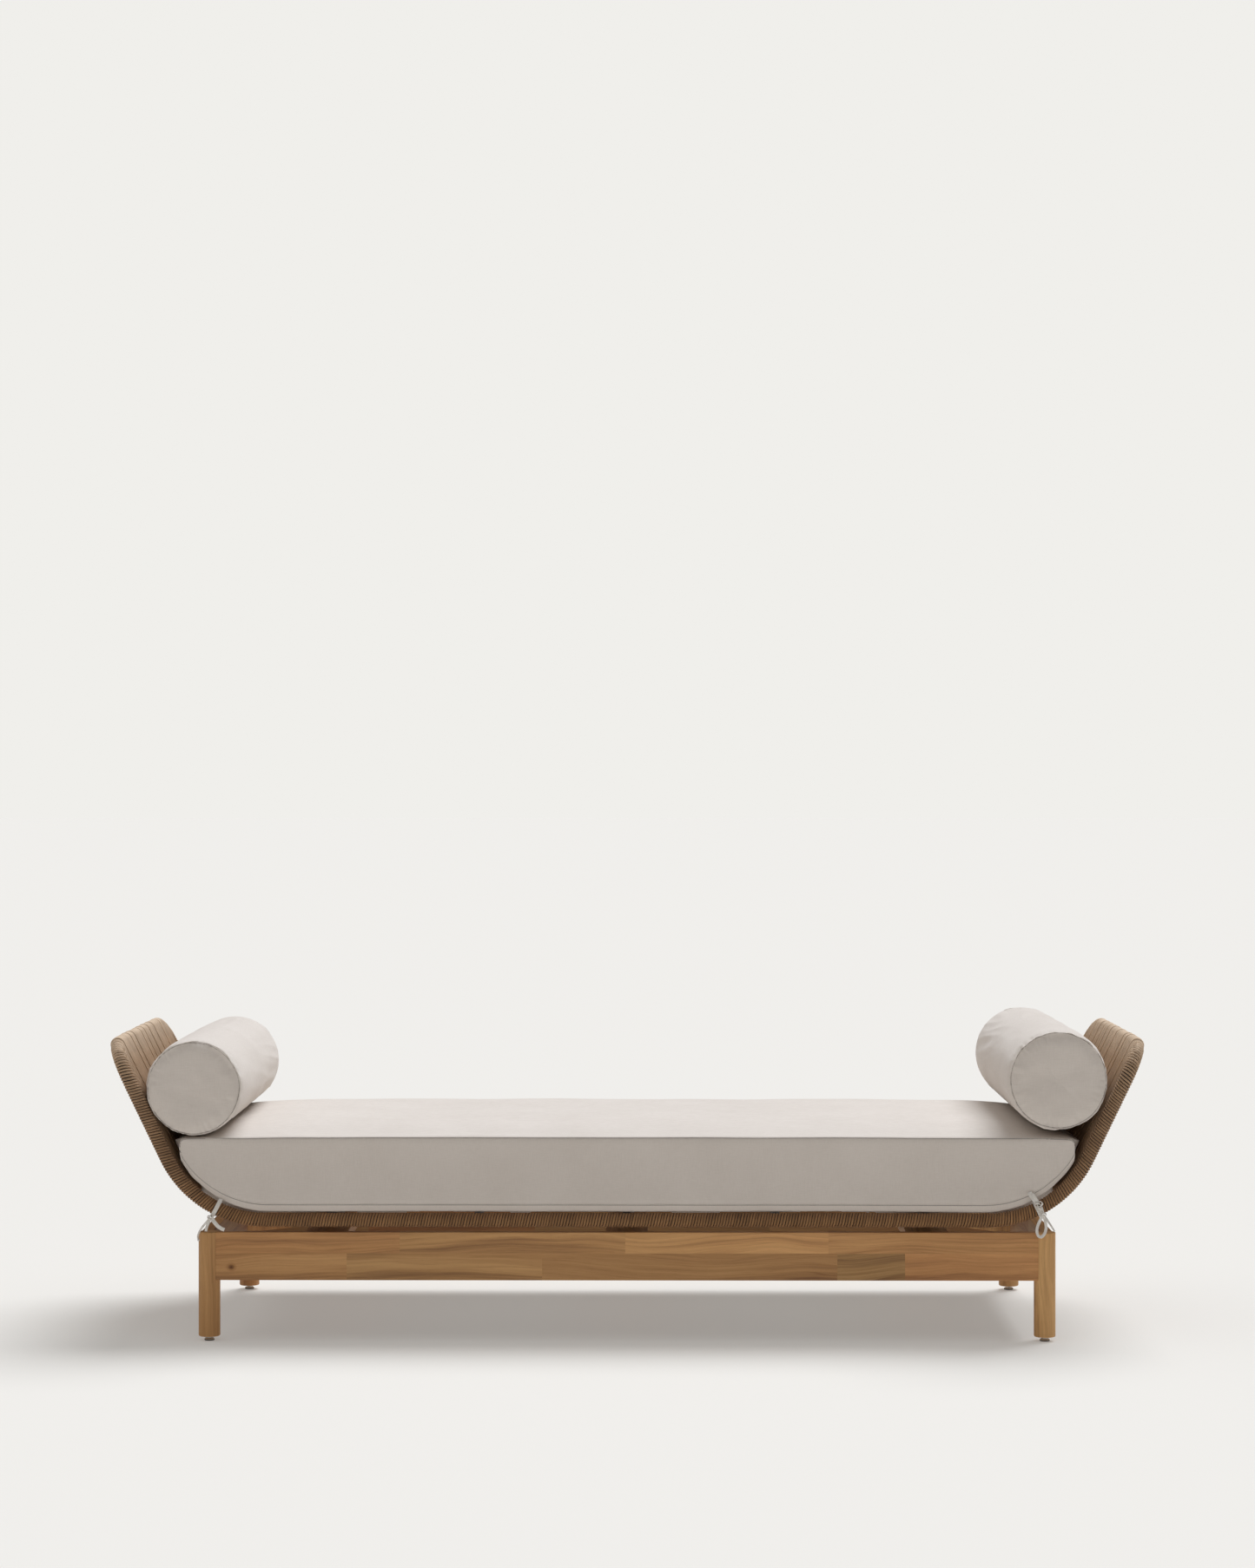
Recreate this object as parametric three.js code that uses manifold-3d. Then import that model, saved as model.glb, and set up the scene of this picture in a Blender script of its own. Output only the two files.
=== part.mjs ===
// Daybed: a wooden base on four round legs carries a bent steel tray wrapped in
// rope. A boat-shaped mattress is tied down in the tray, and a loose bolster
// lies at each end. Millimetres, +Z up; X runs along the bed, the front faces
// -Y, and the origin is on the floor under the middle.

import * as THREE from 'three';
import { mergeVertices } from 'three/addons/utils/BufferGeometryUtils.js';
import Module from 'manifold-3d';

const wasm = await Module();
wasm.setup();

// ---- Driving dimensions -------------------------------------------------

const GAP = 0.3; // left between pieces that touch

// Wooden base
const LEG_RADIUS = 23;
const LEG_X = 890.5; // leg centres from the middle
const LEG_Y = 360;
const LEG_BOTTOM = 9.5;
const BASE_TOP = 232.3; // legs, aprons and cross rails end flush here
const LEG_EDGE = 1.5; // chamfer at both ends of a leg
const APRON_HEIGHT = 102;
const APRON_THICKNESS = 25;
const APRON_OUTSET = 17.5; // outer face beyond the leg centres
const CROSS_RAIL_WIDTH = 90;
const CROSS_RAIL_THICKNESS = 22;
const CROSS_RAIL_X = 640; // outer cross rails from the middle
const BLOCK_NEAR = 58; // corner block: near and far diagonals, measured
const BLOCK_FAR = 92; // along each apron from the inner corner

// Levellers
const STUD_RADIUS = 4;
const STUD_TOP = 46;
const COLLAR_RADIUS = 7; // across the corners of the hexagon
const PAD_RADIUS = 10.75;
const PAD_HEIGHT = 4.8;

// Steel tray
const TUBE_RADIUS = 10;
const TUBE_WALL = 1.5;
const RAIL_Y = 362; // side rail centre lines from the middle
const RAIL_Z = 257.5; // centre line of the flat stretch
const BEND_X = 771; // where the flat stretch starts to curve up
const BEND_RADIUS = 234;
const SLOPE = THREE.MathUtils.degToRad(64.2); // of the ends, from the floor
const SLOPE_LENGTH = 264; // from the bend to the top bar's centre line
const FOOT_ANGLE = (SLOPE * 2) / 3; // round the bend, where the panels' foot tubes are
const CORNER_RADIUS = 84; // where a side rail turns into a top bar
const RAIL_STUB = 4; // straight end of a side rail beyond that corner
const CROSS_TUBES = [-CROSS_RAIL_X, -CROSS_RAIL_X / 2, 0, CROSS_RAIL_X / 2, CROSS_RAIL_X];
const BOLT_RADIUS = 3;
const BOLT_HEAD_RADIUS = 6;
const BOLT_HEAD_HEIGHT = 4;
const BOLT_REACH = 8; // above the underside of its cross tube
const BOLT_Y = 250;
const SPACER_RADIUS = 14;

// Rope
const ROPE = 6; // wrap thickness on the tubes
const WRAP_RADIUS = TUBE_RADIUS + ROPE;
const PANEL_HALF_WIDTH = RAIL_Y - WRAP_RADIUS - 1;

// Mattress
const MATTRESS_BOTTOM = 274;
const MATTRESS_HALF_WIDTH = 374;
const END_CURVE_X = 762; // centre of the curve at each end
const END_CURVE_RADIUS = 215;
const NOSE_ANGLE = THREE.MathUtils.degToRad(-24); // where that curve stops
const SEAM_END_X = 950;
const SEAM_END_Z = 428.5;
const SEAM_Z = 436.5; // top seam along the middle
const CROWN = 24; // rise of the top between its seams

// Bolsters
const BOLSTER_HALF_LENGTH = 368;
const BOLSTER_EDGE = 14; // rounding at the caps
const BOLSTERS = {
  left: { x: -923.5, z: 538, radius: 100.5 },
  right: { x: 919, z: 556, radius: 106.5 },
};

// Zips
const ZIP_WIDTH = 22;
const ZIP_THICKNESS = 1.2;
const MATTRESS_ZIP_LENGTH = 1400;
const MATTRESS_ZIP_Z = 300;
const BOLSTER_ZIP_LENGTH = 560;
const BOLSTER_ZIP_ANGLE = THREE.MathUtils.degToRad(33); // from straight down
const SLIDER = { length: 12, width: 8, thickness: 3 };
const TAB = { length: 20, width: 5, thickness: 1.5 };

// Ties
const TIE_WIDTH = 8.5;
const TIE_THICKNESS = 1.2;
const TIE_SLACK = 1.9; // between the loop and the rope it goes round
const TIE_ANGLE = THREE.MathUtils.degToRad(26.3); // round the bend
const TIE_REACH = 42; // up the mattress from the rail's centre line
const KNOT = { width: 13, depth: 8, height: 15 };
const TAIL_BOTTOM = 228;

// ---- Materials ----------------------------------------------------------

function material(color, roughness, metalness = 0) {
  return new THREE.MeshStandardMaterial({ color, roughness, metalness });
}

const MATERIALS = {
  wood: () => material(0xa5744a, 0.6),
  steel: () => material(0x3a3633, 0.5, 0.6),
  nickel: () => material(0xb9b4aa, 0.3, 1),
  plastic: () => material(0x3b342d, 0.6),
  rope: () => material(0xa98f73, 0.9),
  fabric: () => material(0xcfc8c1, 0.95),
  tape: () => material(0xcbc8c1, 0.9),
  zip: () => material(0xb4aca4, 0.7),
};

// ---- Geometry helpers ---------------------------------------------------

// A curve through listed points that is stepped point by point, so a straight
// stretch takes one step and a bend takes as many as it has points.
class PointCurve extends THREE.Curve {
  constructor(points) {
    super();
    this.points = points;
  }

  getPoint(t, target = new THREE.Vector3()) {
    const last = this.points.length - 1;
    const reach = t * last;
    const start = Math.min(Math.floor(reach), last - 1);
    return target.lerpVectors(this.points[start], this.points[start + 1], reach - start);
  }

  getUtoTmapping(u) {
    return u;
  }
}

function ringShape(outer, inner) {
  const shape = new THREE.Shape();
  shape.absarc(0, 0, outer, 0, 2 * Math.PI);
  const hole = new THREE.Path();
  hole.absarc(0, 0, inner, 0, 2 * Math.PI);
  shape.holes.push(hole);
  return shape;
}

function sweepRing(points, outer, inner) {
  return new THREE.ExtrudeGeometry(ringShape(outer, inner), {
    steps: points.length - 1,
    curveSegments: 5,
    extrudePath: new PointCurve(points),
  });
}

// A tube or bar along Y, centred on the origin.
function tubeAlongY(halfLength, outer, inner) {
  const ends = [new THREE.Vector3(0, -halfLength, 0), new THREE.Vector3(0, halfLength, 0)];
  return sweepRing(ends, outer, inner);
}

// A round bar standing on Z between two heights.
function uprightBar(radius, bottom, top, sides) {
  const bar = new THREE.CylinderGeometry(radius, radius, top - bottom, sides);
  return bar.rotateX(Math.PI / 2).translate(0, 0, (top + bottom) / 2);
}

function boxBetween(x0, x1, y0, y1, z0, z1) {
  const box = new THREE.BoxGeometry(x1 - x0, y1 - y0, z1 - z0);
  return box.translate((x0 + x1) / 2, (y0 + y1) / 2, (z0 + z1) / 2);
}

function toSolid(geometry) {
  const bare = geometry.clone();
  bare.deleteAttribute('normal');
  bare.deleteAttribute('uv');
  const merged = mergeVertices(bare);
  return new wasm.Manifold(new wasm.Mesh({
    numProp: 3,
    vertProperties: merged.attributes.position.array,
    triVerts: Uint32Array.from(merged.index.array),
  }));
}

function toGeometry(solid) {
  const mesh = solid.getMesh();
  const geometry = new THREE.BufferGeometry();
  geometry.setAttribute('position', new THREE.BufferAttribute(mesh.vertProperties, 3));
  geometry.setIndex(new THREE.BufferAttribute(mesh.triVerts, 1));
  return geometry;
}

function cut(geometry, tools) {
  const left = tools.reduce((solid, tool) => solid.subtract(toSolid(tool)), toSolid(geometry));
  return toGeometry(left);
}

function join(geometries) {
  const solids = geometries.map(toSolid);
  return toGeometry(solids.reduce((whole, solid) => whole.add(solid)));
}

function piece(name, geometry, kind) {
  const mesh = new THREE.Mesh(geometry, MATERIALS[kind]());
  mesh.name = name;
  return mesh;
}

const SIDES = [['left', -1], ['right', 1]];
const FACES = [['front', -1], ['rear', 1]];

// ---- Wooden base --------------------------------------------------------

function legGeometry() {
  const bore = STUD_RADIUS + GAP;
  const profile = [
    new THREE.Vector2(0, STUD_TOP + 4),
    new THREE.Vector2(bore, STUD_TOP + 4),
    new THREE.Vector2(bore, LEG_BOTTOM),
    new THREE.Vector2(LEG_RADIUS - LEG_EDGE, LEG_BOTTOM),
    new THREE.Vector2(LEG_RADIUS, LEG_BOTTOM + LEG_EDGE),
    new THREE.Vector2(LEG_RADIUS, BASE_TOP - LEG_EDGE),
    new THREE.Vector2(LEG_RADIUS - LEG_EDGE, BASE_TOP),
    new THREE.Vector2(0, BASE_TOP),
  ];
  return new THREE.LatheGeometry(profile, 20).rotateX(Math.PI / 2);
}

// A board standing between two legs, its ends coped to their round sides.
// It runs along X between legs at +-span, with its outer face towards -Y.
function apronGeometry(span) {
  const bottom = BASE_TOP - APRON_HEIGHT;
  const board = boxBetween(-span + 5, span - 5, -APRON_OUTSET, APRON_THICKNESS - APRON_OUTSET,
    bottom, BASE_TOP);
  const copes = [-span, span].map((x) => {
    const cope = uprightBar(LEG_RADIUS + GAP, bottom - 5, BASE_TOP + 5, 40);
    return cope.translate(x, 0, 0);
  });
  return cut(board, copes);
}

// A flat board across the base under one of the tray's cross tubes. The two
// outer ones are bored for the bolts that hold the tray.
function crossRailGeometry(bored) {
  const halfLength = LEG_Y + APRON_OUTSET - APRON_THICKNESS - GAP;
  const bottom = BASE_TOP - CROSS_RAIL_THICKNESS;
  const board = boxBetween(-CROSS_RAIL_WIDTH / 2, CROSS_RAIL_WIDTH / 2, -halfLength, halfLength,
    bottom, BASE_TOP);
  const bores = [-BOLT_Y, BOLT_Y].map((y) => {
    const bore = uprightBar(BOLT_RADIUS + GAP, bottom - 5, BASE_TOP + 5, 8);
    return bore.translate(0, y, 0);
  });
  return bored ? cut(board, bores) : board;
}

// A block set diagonally in the inner corner of the front left leg.
function cornerBlockGeometry() {
  const shape = new THREE.Shape([
    new THREE.Vector2(BLOCK_NEAR, 0),
    new THREE.Vector2(BLOCK_FAR, 0),
    new THREE.Vector2(0, BLOCK_FAR),
    new THREE.Vector2(0, BLOCK_NEAR),
  ]);
  const height = APRON_HEIGHT - 30;
  const block = new THREE.ExtrudeGeometry(shape, { depth: height, bevelEnabled: false });
  return block.translate(0, 0, BASE_TOP - 15 - height);
}

function woodenBase() {
  const base = new THREE.Group();
  const inset = APRON_THICKNESS - APRON_OUTSET + GAP;
  for (const [face, y] of FACES) {
    const apron = piece(`apron_${face}`, apronGeometry(LEG_X), 'wood');
    apron.position.y = y * LEG_Y;
    apron.rotation.z = y > 0 ? Math.PI : 0;
    base.add(apron);
    for (const [side, x] of SIDES) {
      const leg = piece(`leg_${face}_${side}`, legGeometry(), 'wood');
      leg.position.set(x * LEG_X, y * LEG_Y, 0);
      const block = piece(`corner_block_${face}_${side}`, cornerBlockGeometry(), 'wood');
      block.position.set(x * (LEG_X - inset), y * (LEG_Y - inset), 0);
      // a quarter turn for each corner, counted from the front left one
      const turns = y < 0 ? (x < 0 ? 0 : 1) : (x < 0 ? 3 : 2);
      block.rotation.z = turns * Math.PI / 2;
      base.add(leg, block);
    }
  }
  for (const [side, x] of SIDES) {
    const apron = piece(`apron_${side}`, apronGeometry(LEG_Y), 'wood');
    apron.position.x = x * LEG_X;
    apron.rotation.z = x * Math.PI / 2;
    base.add(apron);
  }
  for (const [place, x] of [['left', -1], ['middle', 0], ['right', 1]]) {
    const rail = piece(`cross_rail_${place}`, crossRailGeometry(x !== 0), 'wood');
    rail.position.x = x * CROSS_RAIL_X;
    base.add(rail);
  }
  return base;
}

// ---- Levellers ----------------------------------------------------------

function studGeometry() {
  const collarBottom = PAD_HEIGHT + GAP;
  const collarTop = LEG_BOTTOM - GAP;
  return join([
    uprightBar(COLLAR_RADIUS, collarBottom, collarTop, 6),
    uprightBar(STUD_RADIUS, collarTop - 1, STUD_TOP, 8),
  ]);
}

function padGeometry() {
  const profile = [
    new THREE.Vector2(0, 0),
    new THREE.Vector2(PAD_RADIUS, 0),
    new THREE.Vector2(PAD_RADIUS, PAD_HEIGHT - 1.5),
    new THREE.Vector2(PAD_RADIUS - 1.5, PAD_HEIGHT),
    new THREE.Vector2(0, PAD_HEIGHT),
  ];
  return new THREE.LatheGeometry(profile, 16).rotateX(Math.PI / 2);
}

function levellers() {
  const set = new THREE.Group();
  for (const [face, y] of FACES) {
    for (const [side, x] of SIDES) {
      const leveller = new THREE.Group();
      leveller.position.set(x * LEG_X, y * LEG_Y, 0);
      leveller.add(piece(`leveller_stud_${face}_${side}`, studGeometry(), 'nickel'));
      leveller.add(piece(`leveller_pad_${face}_${side}`, padGeometry(), 'plastic'));
      set.add(leveller);
    }
  }
  return set;
}

// ---- Steel tray ---------------------------------------------------------

// Centre line of the front side rail, from the left top bar round the corner,
// down the slope, along the flat stretch and up again to the right top bar.
function railPoints() {
  const profile = new THREE.Path();
  profile.moveTo(BEND_X, 0);
  profile.absarc(BEND_X, BEND_RADIUS, BEND_RADIUS, -Math.PI / 2, SLOPE - Math.PI / 2);
  const bend = profile.getPoints(3).map((p) => new THREE.Vector3(p.x, -RAIL_Y, RAIL_Z + p.y));
  const foot = bend[bend.length - 1];
  const upSlope = new THREE.Vector3(Math.cos(SLOPE), 0, Math.sin(SLOPE));
  const turn = new THREE.Path();
  turn.absarc(CORNER_RADIUS, 0, CORNER_RADIUS, Math.PI, Math.PI / 2, true);
  const corner = turn.getPoints(3).map((p) => {
    const point = foot.clone().addScaledVector(upSlope, SLOPE_LENGTH - CORNER_RADIUS + p.y);
    point.y += p.x;
    return point;
  });
  const end = corner[corner.length - 1].clone();
  end.y += RAIL_STUB;
  const rightHalf = [...bend, ...corner, end];
  const leftHalf = rightHalf.map((p) => new THREE.Vector3(-p.x, p.y, p.z)).reverse();
  return [...leftHalf, ...rightHalf];
}

// The foot of the slope, and the foot tube part of the way round the bend.
const SLOPE_X = BEND_X + BEND_RADIUS * Math.sin(SLOPE);
const SLOPE_Z = RAIL_Z + BEND_RADIUS * (1 - Math.cos(SLOPE));
const FOOT_X = BEND_X + BEND_RADIUS * Math.sin(FOOT_ANGLE);
const FOOT_Z = RAIL_Z + BEND_RADIUS * (1 - Math.cos(FOOT_ANGLE));
const CROSS_HALF_LENGTH = RAIL_Y - TUBE_RADIUS - GAP;

function railTubeGeometry() {
  return sweepRing(railPoints(), TUBE_RADIUS, TUBE_RADIUS - TUBE_WALL);
}

function crossTubeGeometry(bored) {
  const tube = tubeAlongY(CROSS_HALF_LENGTH, TUBE_RADIUS, TUBE_RADIUS - TUBE_WALL);
  const bores = [-BOLT_Y, BOLT_Y].map((y) => {
    return uprightBar(BOLT_RADIUS + GAP, -TUBE_RADIUS - 2, 0, 8).translate(0, y, 0);
  });
  return bored ? cut(tube, bores) : tube;
}

function boltGeometry() {
  const headTop = BASE_TOP - CROSS_RAIL_THICKNESS - GAP;
  return join([
    uprightBar(BOLT_HEAD_RADIUS, headTop - BOLT_HEAD_HEIGHT, headTop, 6),
    uprightBar(BOLT_RADIUS, headTop - 1, RAIL_Z - TUBE_RADIUS + BOLT_REACH, 8),
  ]);
}

function spacerGeometry() {
  const bottom = BASE_TOP + GAP;
  const top = RAIL_Z - TUBE_RADIUS - GAP;
  return cut(uprightBar(SPACER_RADIUS, bottom, top, 16),
    [uprightBar(BOLT_RADIUS + GAP, bottom - 5, top + 5, 8)]);
}

function steelTray() {
  const tray = new THREE.Group();
  for (const [face, y] of FACES) {
    const rail = piece(`side_rail_${face}`, railTubeGeometry(), 'steel');
    rail.rotation.z = y > 0 ? Math.PI : 0;
    tray.add(rail);
  }
  CROSS_TUBES.forEach((x, index) => {
    const bored = Math.abs(x) === CROSS_RAIL_X;
    const tube = piece(`cross_tube_${index + 1}`, crossTubeGeometry(bored), 'steel');
    tube.position.set(x, 0, RAIL_Z);
    tray.add(tube);
  });
  const barHalfLength = RAIL_Y - CORNER_RADIUS - RAIL_STUB - GAP;
  for (const [side, x] of SIDES) {
    const foot = piece(`foot_tube_${side}`, crossTubeGeometry(false), 'steel');
    foot.position.set(x * FOOT_X, 0, FOOT_Z);
    const bar = piece(`top_bar_${side}`,
      tubeAlongY(barHalfLength, TUBE_RADIUS, TUBE_RADIUS - TUBE_WALL), 'steel');
    bar.position.set(x * (SLOPE_X + SLOPE_LENGTH * Math.cos(SLOPE)), 0,
      SLOPE_Z + SLOPE_LENGTH * Math.sin(SLOPE));
    tray.add(foot, bar);
    for (const [face, y] of FACES) {
      const bolt = piece(`tray_bolt_${face}_${side}`, boltGeometry(), 'nickel');
      const spacer = piece(`tray_spacer_${face}_${side}`, spacerGeometry(), 'plastic');
      bolt.position.set(x * CROSS_RAIL_X, y * BOLT_Y, 0);
      spacer.position.set(x * CROSS_RAIL_X, y * BOLT_Y, 0);
      tray.add(bolt, spacer);
    }
  }
  return tray;
}

// ---- Rope ---------------------------------------------------------------

// The rope wound round the front side rail, left open where the cross tubes
// and the two foot tubes are welded to the rail.
function railWrapGeometry() {
  const sleeve = sweepRing(railPoints(), WRAP_RADIUS, TUBE_RADIUS + 2 * GAP);
  const welds = [
    ...CROSS_TUBES.map((x) => [x, RAIL_Z]),
    ...SIDES.map(([, x]) => [x * FOOT_X, FOOT_Z]),
  ];
  const openings = welds.map(([x, z]) => {
    const opening = new THREE.CylinderGeometry(TUBE_RADIUS + 1, TUBE_RADIUS + 1, 30, 10);
    return opening.translate(x, 15 - RAIL_Y, z);
  });
  return cut(sleeve, openings);
}

// One side of the strands' belt, seen along the bed's width: over the top bar,
// down the slope, round the bend and round the foot tube, and back behind.
// The slope's foot is its origin and the bed's inside is towards -X.
function traceBelt(path, reach) {
  const turn = SLOPE - FOOT_ANGLE;
  path.absarc(0, SLOPE_LENGTH, reach, 0, Math.PI);
  path.absarc(-BEND_RADIUS, 0, BEND_RADIUS - reach, 0, -turn, true);
  path.absarc(BEND_RADIUS * (Math.cos(turn) - 1), -BEND_RADIUS * Math.sin(turn), reach,
    Math.PI - turn, 2 * Math.PI - turn);
  path.absarc(-BEND_RADIUS, 0, BEND_RADIUS + reach, -turn, 0);
}

// The strands laid side by side round a top bar and a foot tube: a belt, cut
// back at the top corners to clear the bends of the side rails. It is built
// upright for the right end, with the slope's foot as its origin.
function panelGeometry() {
  const belt = new THREE.Shape();
  traceBelt(belt, WRAP_RADIUS);
  const hollow = new THREE.Path();
  traceBelt(hollow, TUBE_RADIUS + 2 * GAP);
  belt.holes.push(hollow);
  const strands = new THREE.ExtrudeGeometry(belt, {
    depth: 2 * PANEL_HALF_WIDTH, bevelEnabled: false, curveSegments: 6,
  });
  strands.rotateX(Math.PI / 2).translate(0, PANEL_HALF_WIDTH, 0);

  const outline = new THREE.Shape();
  const cornerY = RAIL_Y - CORNER_RADIUS;
  const cornerZ = SLOPE_LENGTH - CORNER_RADIUS;
  const reach = CORNER_RADIUS - WRAP_RADIUS - 1;
  const straight = cornerY - RAIL_STUB - GAP;
  outline.moveTo(-PANEL_HALF_WIDTH, -BEND_RADIUS);
  outline.lineTo(PANEL_HALF_WIDTH, -BEND_RADIUS);
  outline.absarc(cornerY, cornerZ, reach, 0, Math.PI / 2);
  outline.lineTo(straight, cornerZ + reach);
  outline.lineTo(straight, SLOPE_LENGTH + WRAP_RADIUS + 5);
  outline.lineTo(-straight, SLOPE_LENGTH + WRAP_RADIUS + 5);
  outline.lineTo(-straight, cornerZ + reach);
  outline.absarc(-cornerY, cornerZ, reach, Math.PI / 2, Math.PI);
  const keep = new THREE.ExtrudeGeometry(outline, {
    depth: BEND_RADIUS, bevelEnabled: false, curveSegments: 8,
  });
  // the outline's x and y become the panel's width and height
  keep.rotateX(Math.PI / 2).rotateZ(Math.PI / 2).translate(-BEND_RADIUS / 2, 0, 0);
  return toGeometry(toSolid(strands).intersect(toSolid(keep)));
}

function ropework() {
  const rope = new THREE.Group();
  for (const [face, y] of FACES) {
    const wrap = piece(`rope_wrap_${face}`, railWrapGeometry(), 'rope');
    wrap.rotation.z = y > 0 ? Math.PI : 0;
    rope.add(wrap);
  }
  for (const [side, x] of SIDES) {
    const panel = piece(`rope_panel_${side}`, panelGeometry(), 'rope');
    panel.position.set(x * SLOPE_X, 0, SLOPE_Z);
    panel.rotation.set(0, x * (Math.PI / 2 - SLOPE), x > 0 ? 0 : Math.PI);
    rope.add(panel);
  }
  return rope;
}

// ---- Mattress and bolsters ----------------------------------------------

// Height of the crown over the top seam's level, along and across the bed.
function crownAt(x, y) {
  const along = 1 - Math.pow(Math.abs(x) / SEAM_END_X, 8);
  const across = 1 - Math.pow(Math.abs(y) / MATTRESS_HALF_WIDTH, 3);
  return CROWN * Math.max(along, 0) * Math.max(across, 0);
}

function mattressGeometry() {
  const endCurveZ = MATTRESS_BOTTOM + END_CURVE_RADIUS;
  const outline = new THREE.Shape();
  outline.moveTo(-END_CURVE_X, MATTRESS_BOTTOM);
  outline.absarc(END_CURVE_X, endCurveZ, END_CURVE_RADIUS, -Math.PI / 2, NOSE_ANGLE);
  outline.lineTo(SEAM_END_X, SEAM_END_Z);
  const topSteps = 12;
  for (let step = 1; step < topSteps; step += 1) {
    const along = Math.cos(Math.PI * step / topSteps);
    const rise = 1 - Math.pow(Math.abs(along), 6);
    outline.lineTo(SEAM_END_X * along, SEAM_END_Z + (SEAM_Z - SEAM_END_Z) * rise);
  }
  outline.lineTo(-SEAM_END_X, SEAM_END_Z);
  outline.absarc(-END_CURVE_X, endCurveZ, END_CURVE_RADIUS, Math.PI - NOSE_ANGLE,
    1.5 * Math.PI);
  const mattress = new THREE.ExtrudeGeometry(outline, {
    depth: 2 * MATTRESS_HALF_WIDTH, steps: 8, bevelEnabled: false, curveSegments: 4,
  });
  mattress.rotateX(Math.PI / 2).translate(0, MATTRESS_HALF_WIDTH, 0);
  const places = mattress.attributes.position;
  for (let index = 0; index < places.count; index += 1) {
    const z = places.getZ(index);
    if (z >= SEAM_END_Z - GAP) {
      places.setZ(index, z + crownAt(places.getX(index), places.getY(index)));
    }
  }
  return mattress;
}

function bolsterGeometry(radius) {
  const cap = BOLSTER_HALF_LENGTH;
  const profile = new THREE.Path();
  profile.moveTo(0, -cap);
  profile.lineTo(radius - BOLSTER_EDGE, -cap);
  profile.absarc(radius - BOLSTER_EDGE, BOLSTER_EDGE - cap, BOLSTER_EDGE, -Math.PI / 2, 0);
  profile.absarc(radius - BOLSTER_EDGE, cap - BOLSTER_EDGE, BOLSTER_EDGE, 0, Math.PI / 2);
  profile.lineTo(0, cap);
  return new THREE.LatheGeometry(profile.getPoints(1), 24);
}

// A zip's strip lying along X, its outer face towards -Z.
function zipGeometry(length) {
  return boxBetween(-length / 2, length / 2, -ZIP_WIDTH / 2, ZIP_WIDTH / 2, -ZIP_THICKNESS, 0);
}

// A zip's slider at the strip's start, with its pull tab lying back along it.
function sliderGeometry(length) {
  const start = -length / 2 + 25;
  const outer = -ZIP_THICKNESS - GAP;
  return join([
    boxBetween(start, start + SLIDER.length, -SLIDER.width / 2, SLIDER.width / 2,
      outer - SLIDER.thickness, outer),
    boxBetween(start - TAB.length + 4, start + 4, -TAB.width / 2, TAB.width / 2,
      outer - SLIDER.thickness, outer - SLIDER.thickness + TAB.thickness),
  ]);
}

function bolster(side, sign) {
  const { x, z, radius } = BOLSTERS[side];
  const group = new THREE.Group();
  group.position.set(x, 0, z);
  group.add(piece(`bolster_${side}`, bolsterGeometry(radius), 'fabric'));
  // the zip faces down and outwards, into the crease behind the mattress
  const turned = new THREE.Group();
  turned.rotation.y = -sign * BOLSTER_ZIP_ANGLE;
  const zip = piece(`bolster_zip_${side}`, zipGeometry(BOLSTER_ZIP_LENGTH), 'zip');
  const slider = piece(`bolster_zip_slider_${side}`, sliderGeometry(BOLSTER_ZIP_LENGTH), 'nickel');
  for (const part of [zip, slider]) {
    part.rotation.z = Math.PI / 2;
    part.position.z = -radius - GAP;
    turned.add(part);
  }
  group.add(turned);
  return group;
}

function mattressWithZip() {
  const group = new THREE.Group();
  group.add(piece('mattress', mattressGeometry(), 'fabric'));
  const zip = piece('mattress_zip', zipGeometry(MATTRESS_ZIP_LENGTH), 'zip');
  const slider = piece('mattress_zip_slider', sliderGeometry(MATTRESS_ZIP_LENGTH), 'nickel');
  for (const part of [zip, slider]) {
    part.rotation.x = Math.PI / 2;
    part.position.set(0, MATTRESS_HALF_WIDTH + GAP, MATTRESS_ZIP_Z);
    group.add(part);
  }
  return group;
}

// ---- Ties ---------------------------------------------------------------

// A tape sewn to the mattress, looped round the wrapped rail and knotted in
// front of it, for the front left corner. Its origin is on the rail's centre line.
function tieGeometry() {
  const inner = WRAP_RADIUS + TIE_SLACK;
  const outer = inner + TIE_THICKNESS;
  const half = TIE_WIDTH / 2;
  const ends = [new THREE.Vector3(-half, 0, 0), new THREE.Vector3(half, 0, 0)];
  const loop = sweepRing(ends, outer, inner);
  const strap = boxBetween(-half, half, -outer, -inner - 0.1, 0, TIE_REACH);
  const knotBottom = -WRAP_RADIUS - 2;
  const knot = boxBetween(-KNOT.width / 2, KNOT.width / 2, -outer - KNOT.depth + 2, -inner - 0.2,
    knotBottom, knotBottom + KNOT.height);
  const turned = [loop, strap, knot].map((part) => part.rotateY(TIE_ANGLE));
  const front = -outer - KNOT.depth + 2;
  const tailTop = knotBottom + KNOT.height / 2;
  const railZ = RAIL_Z + BEND_RADIUS * (1 - Math.cos(TIE_ANGLE));
  const tailX = knotBottom * Math.sin(TIE_ANGLE);
  const tail = boxBetween(tailX - half, tailX + half, front, front + TIE_THICKNESS,
    TAIL_BOTTOM - railZ, tailTop);
  return join([...turned, tail]);
}

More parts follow.
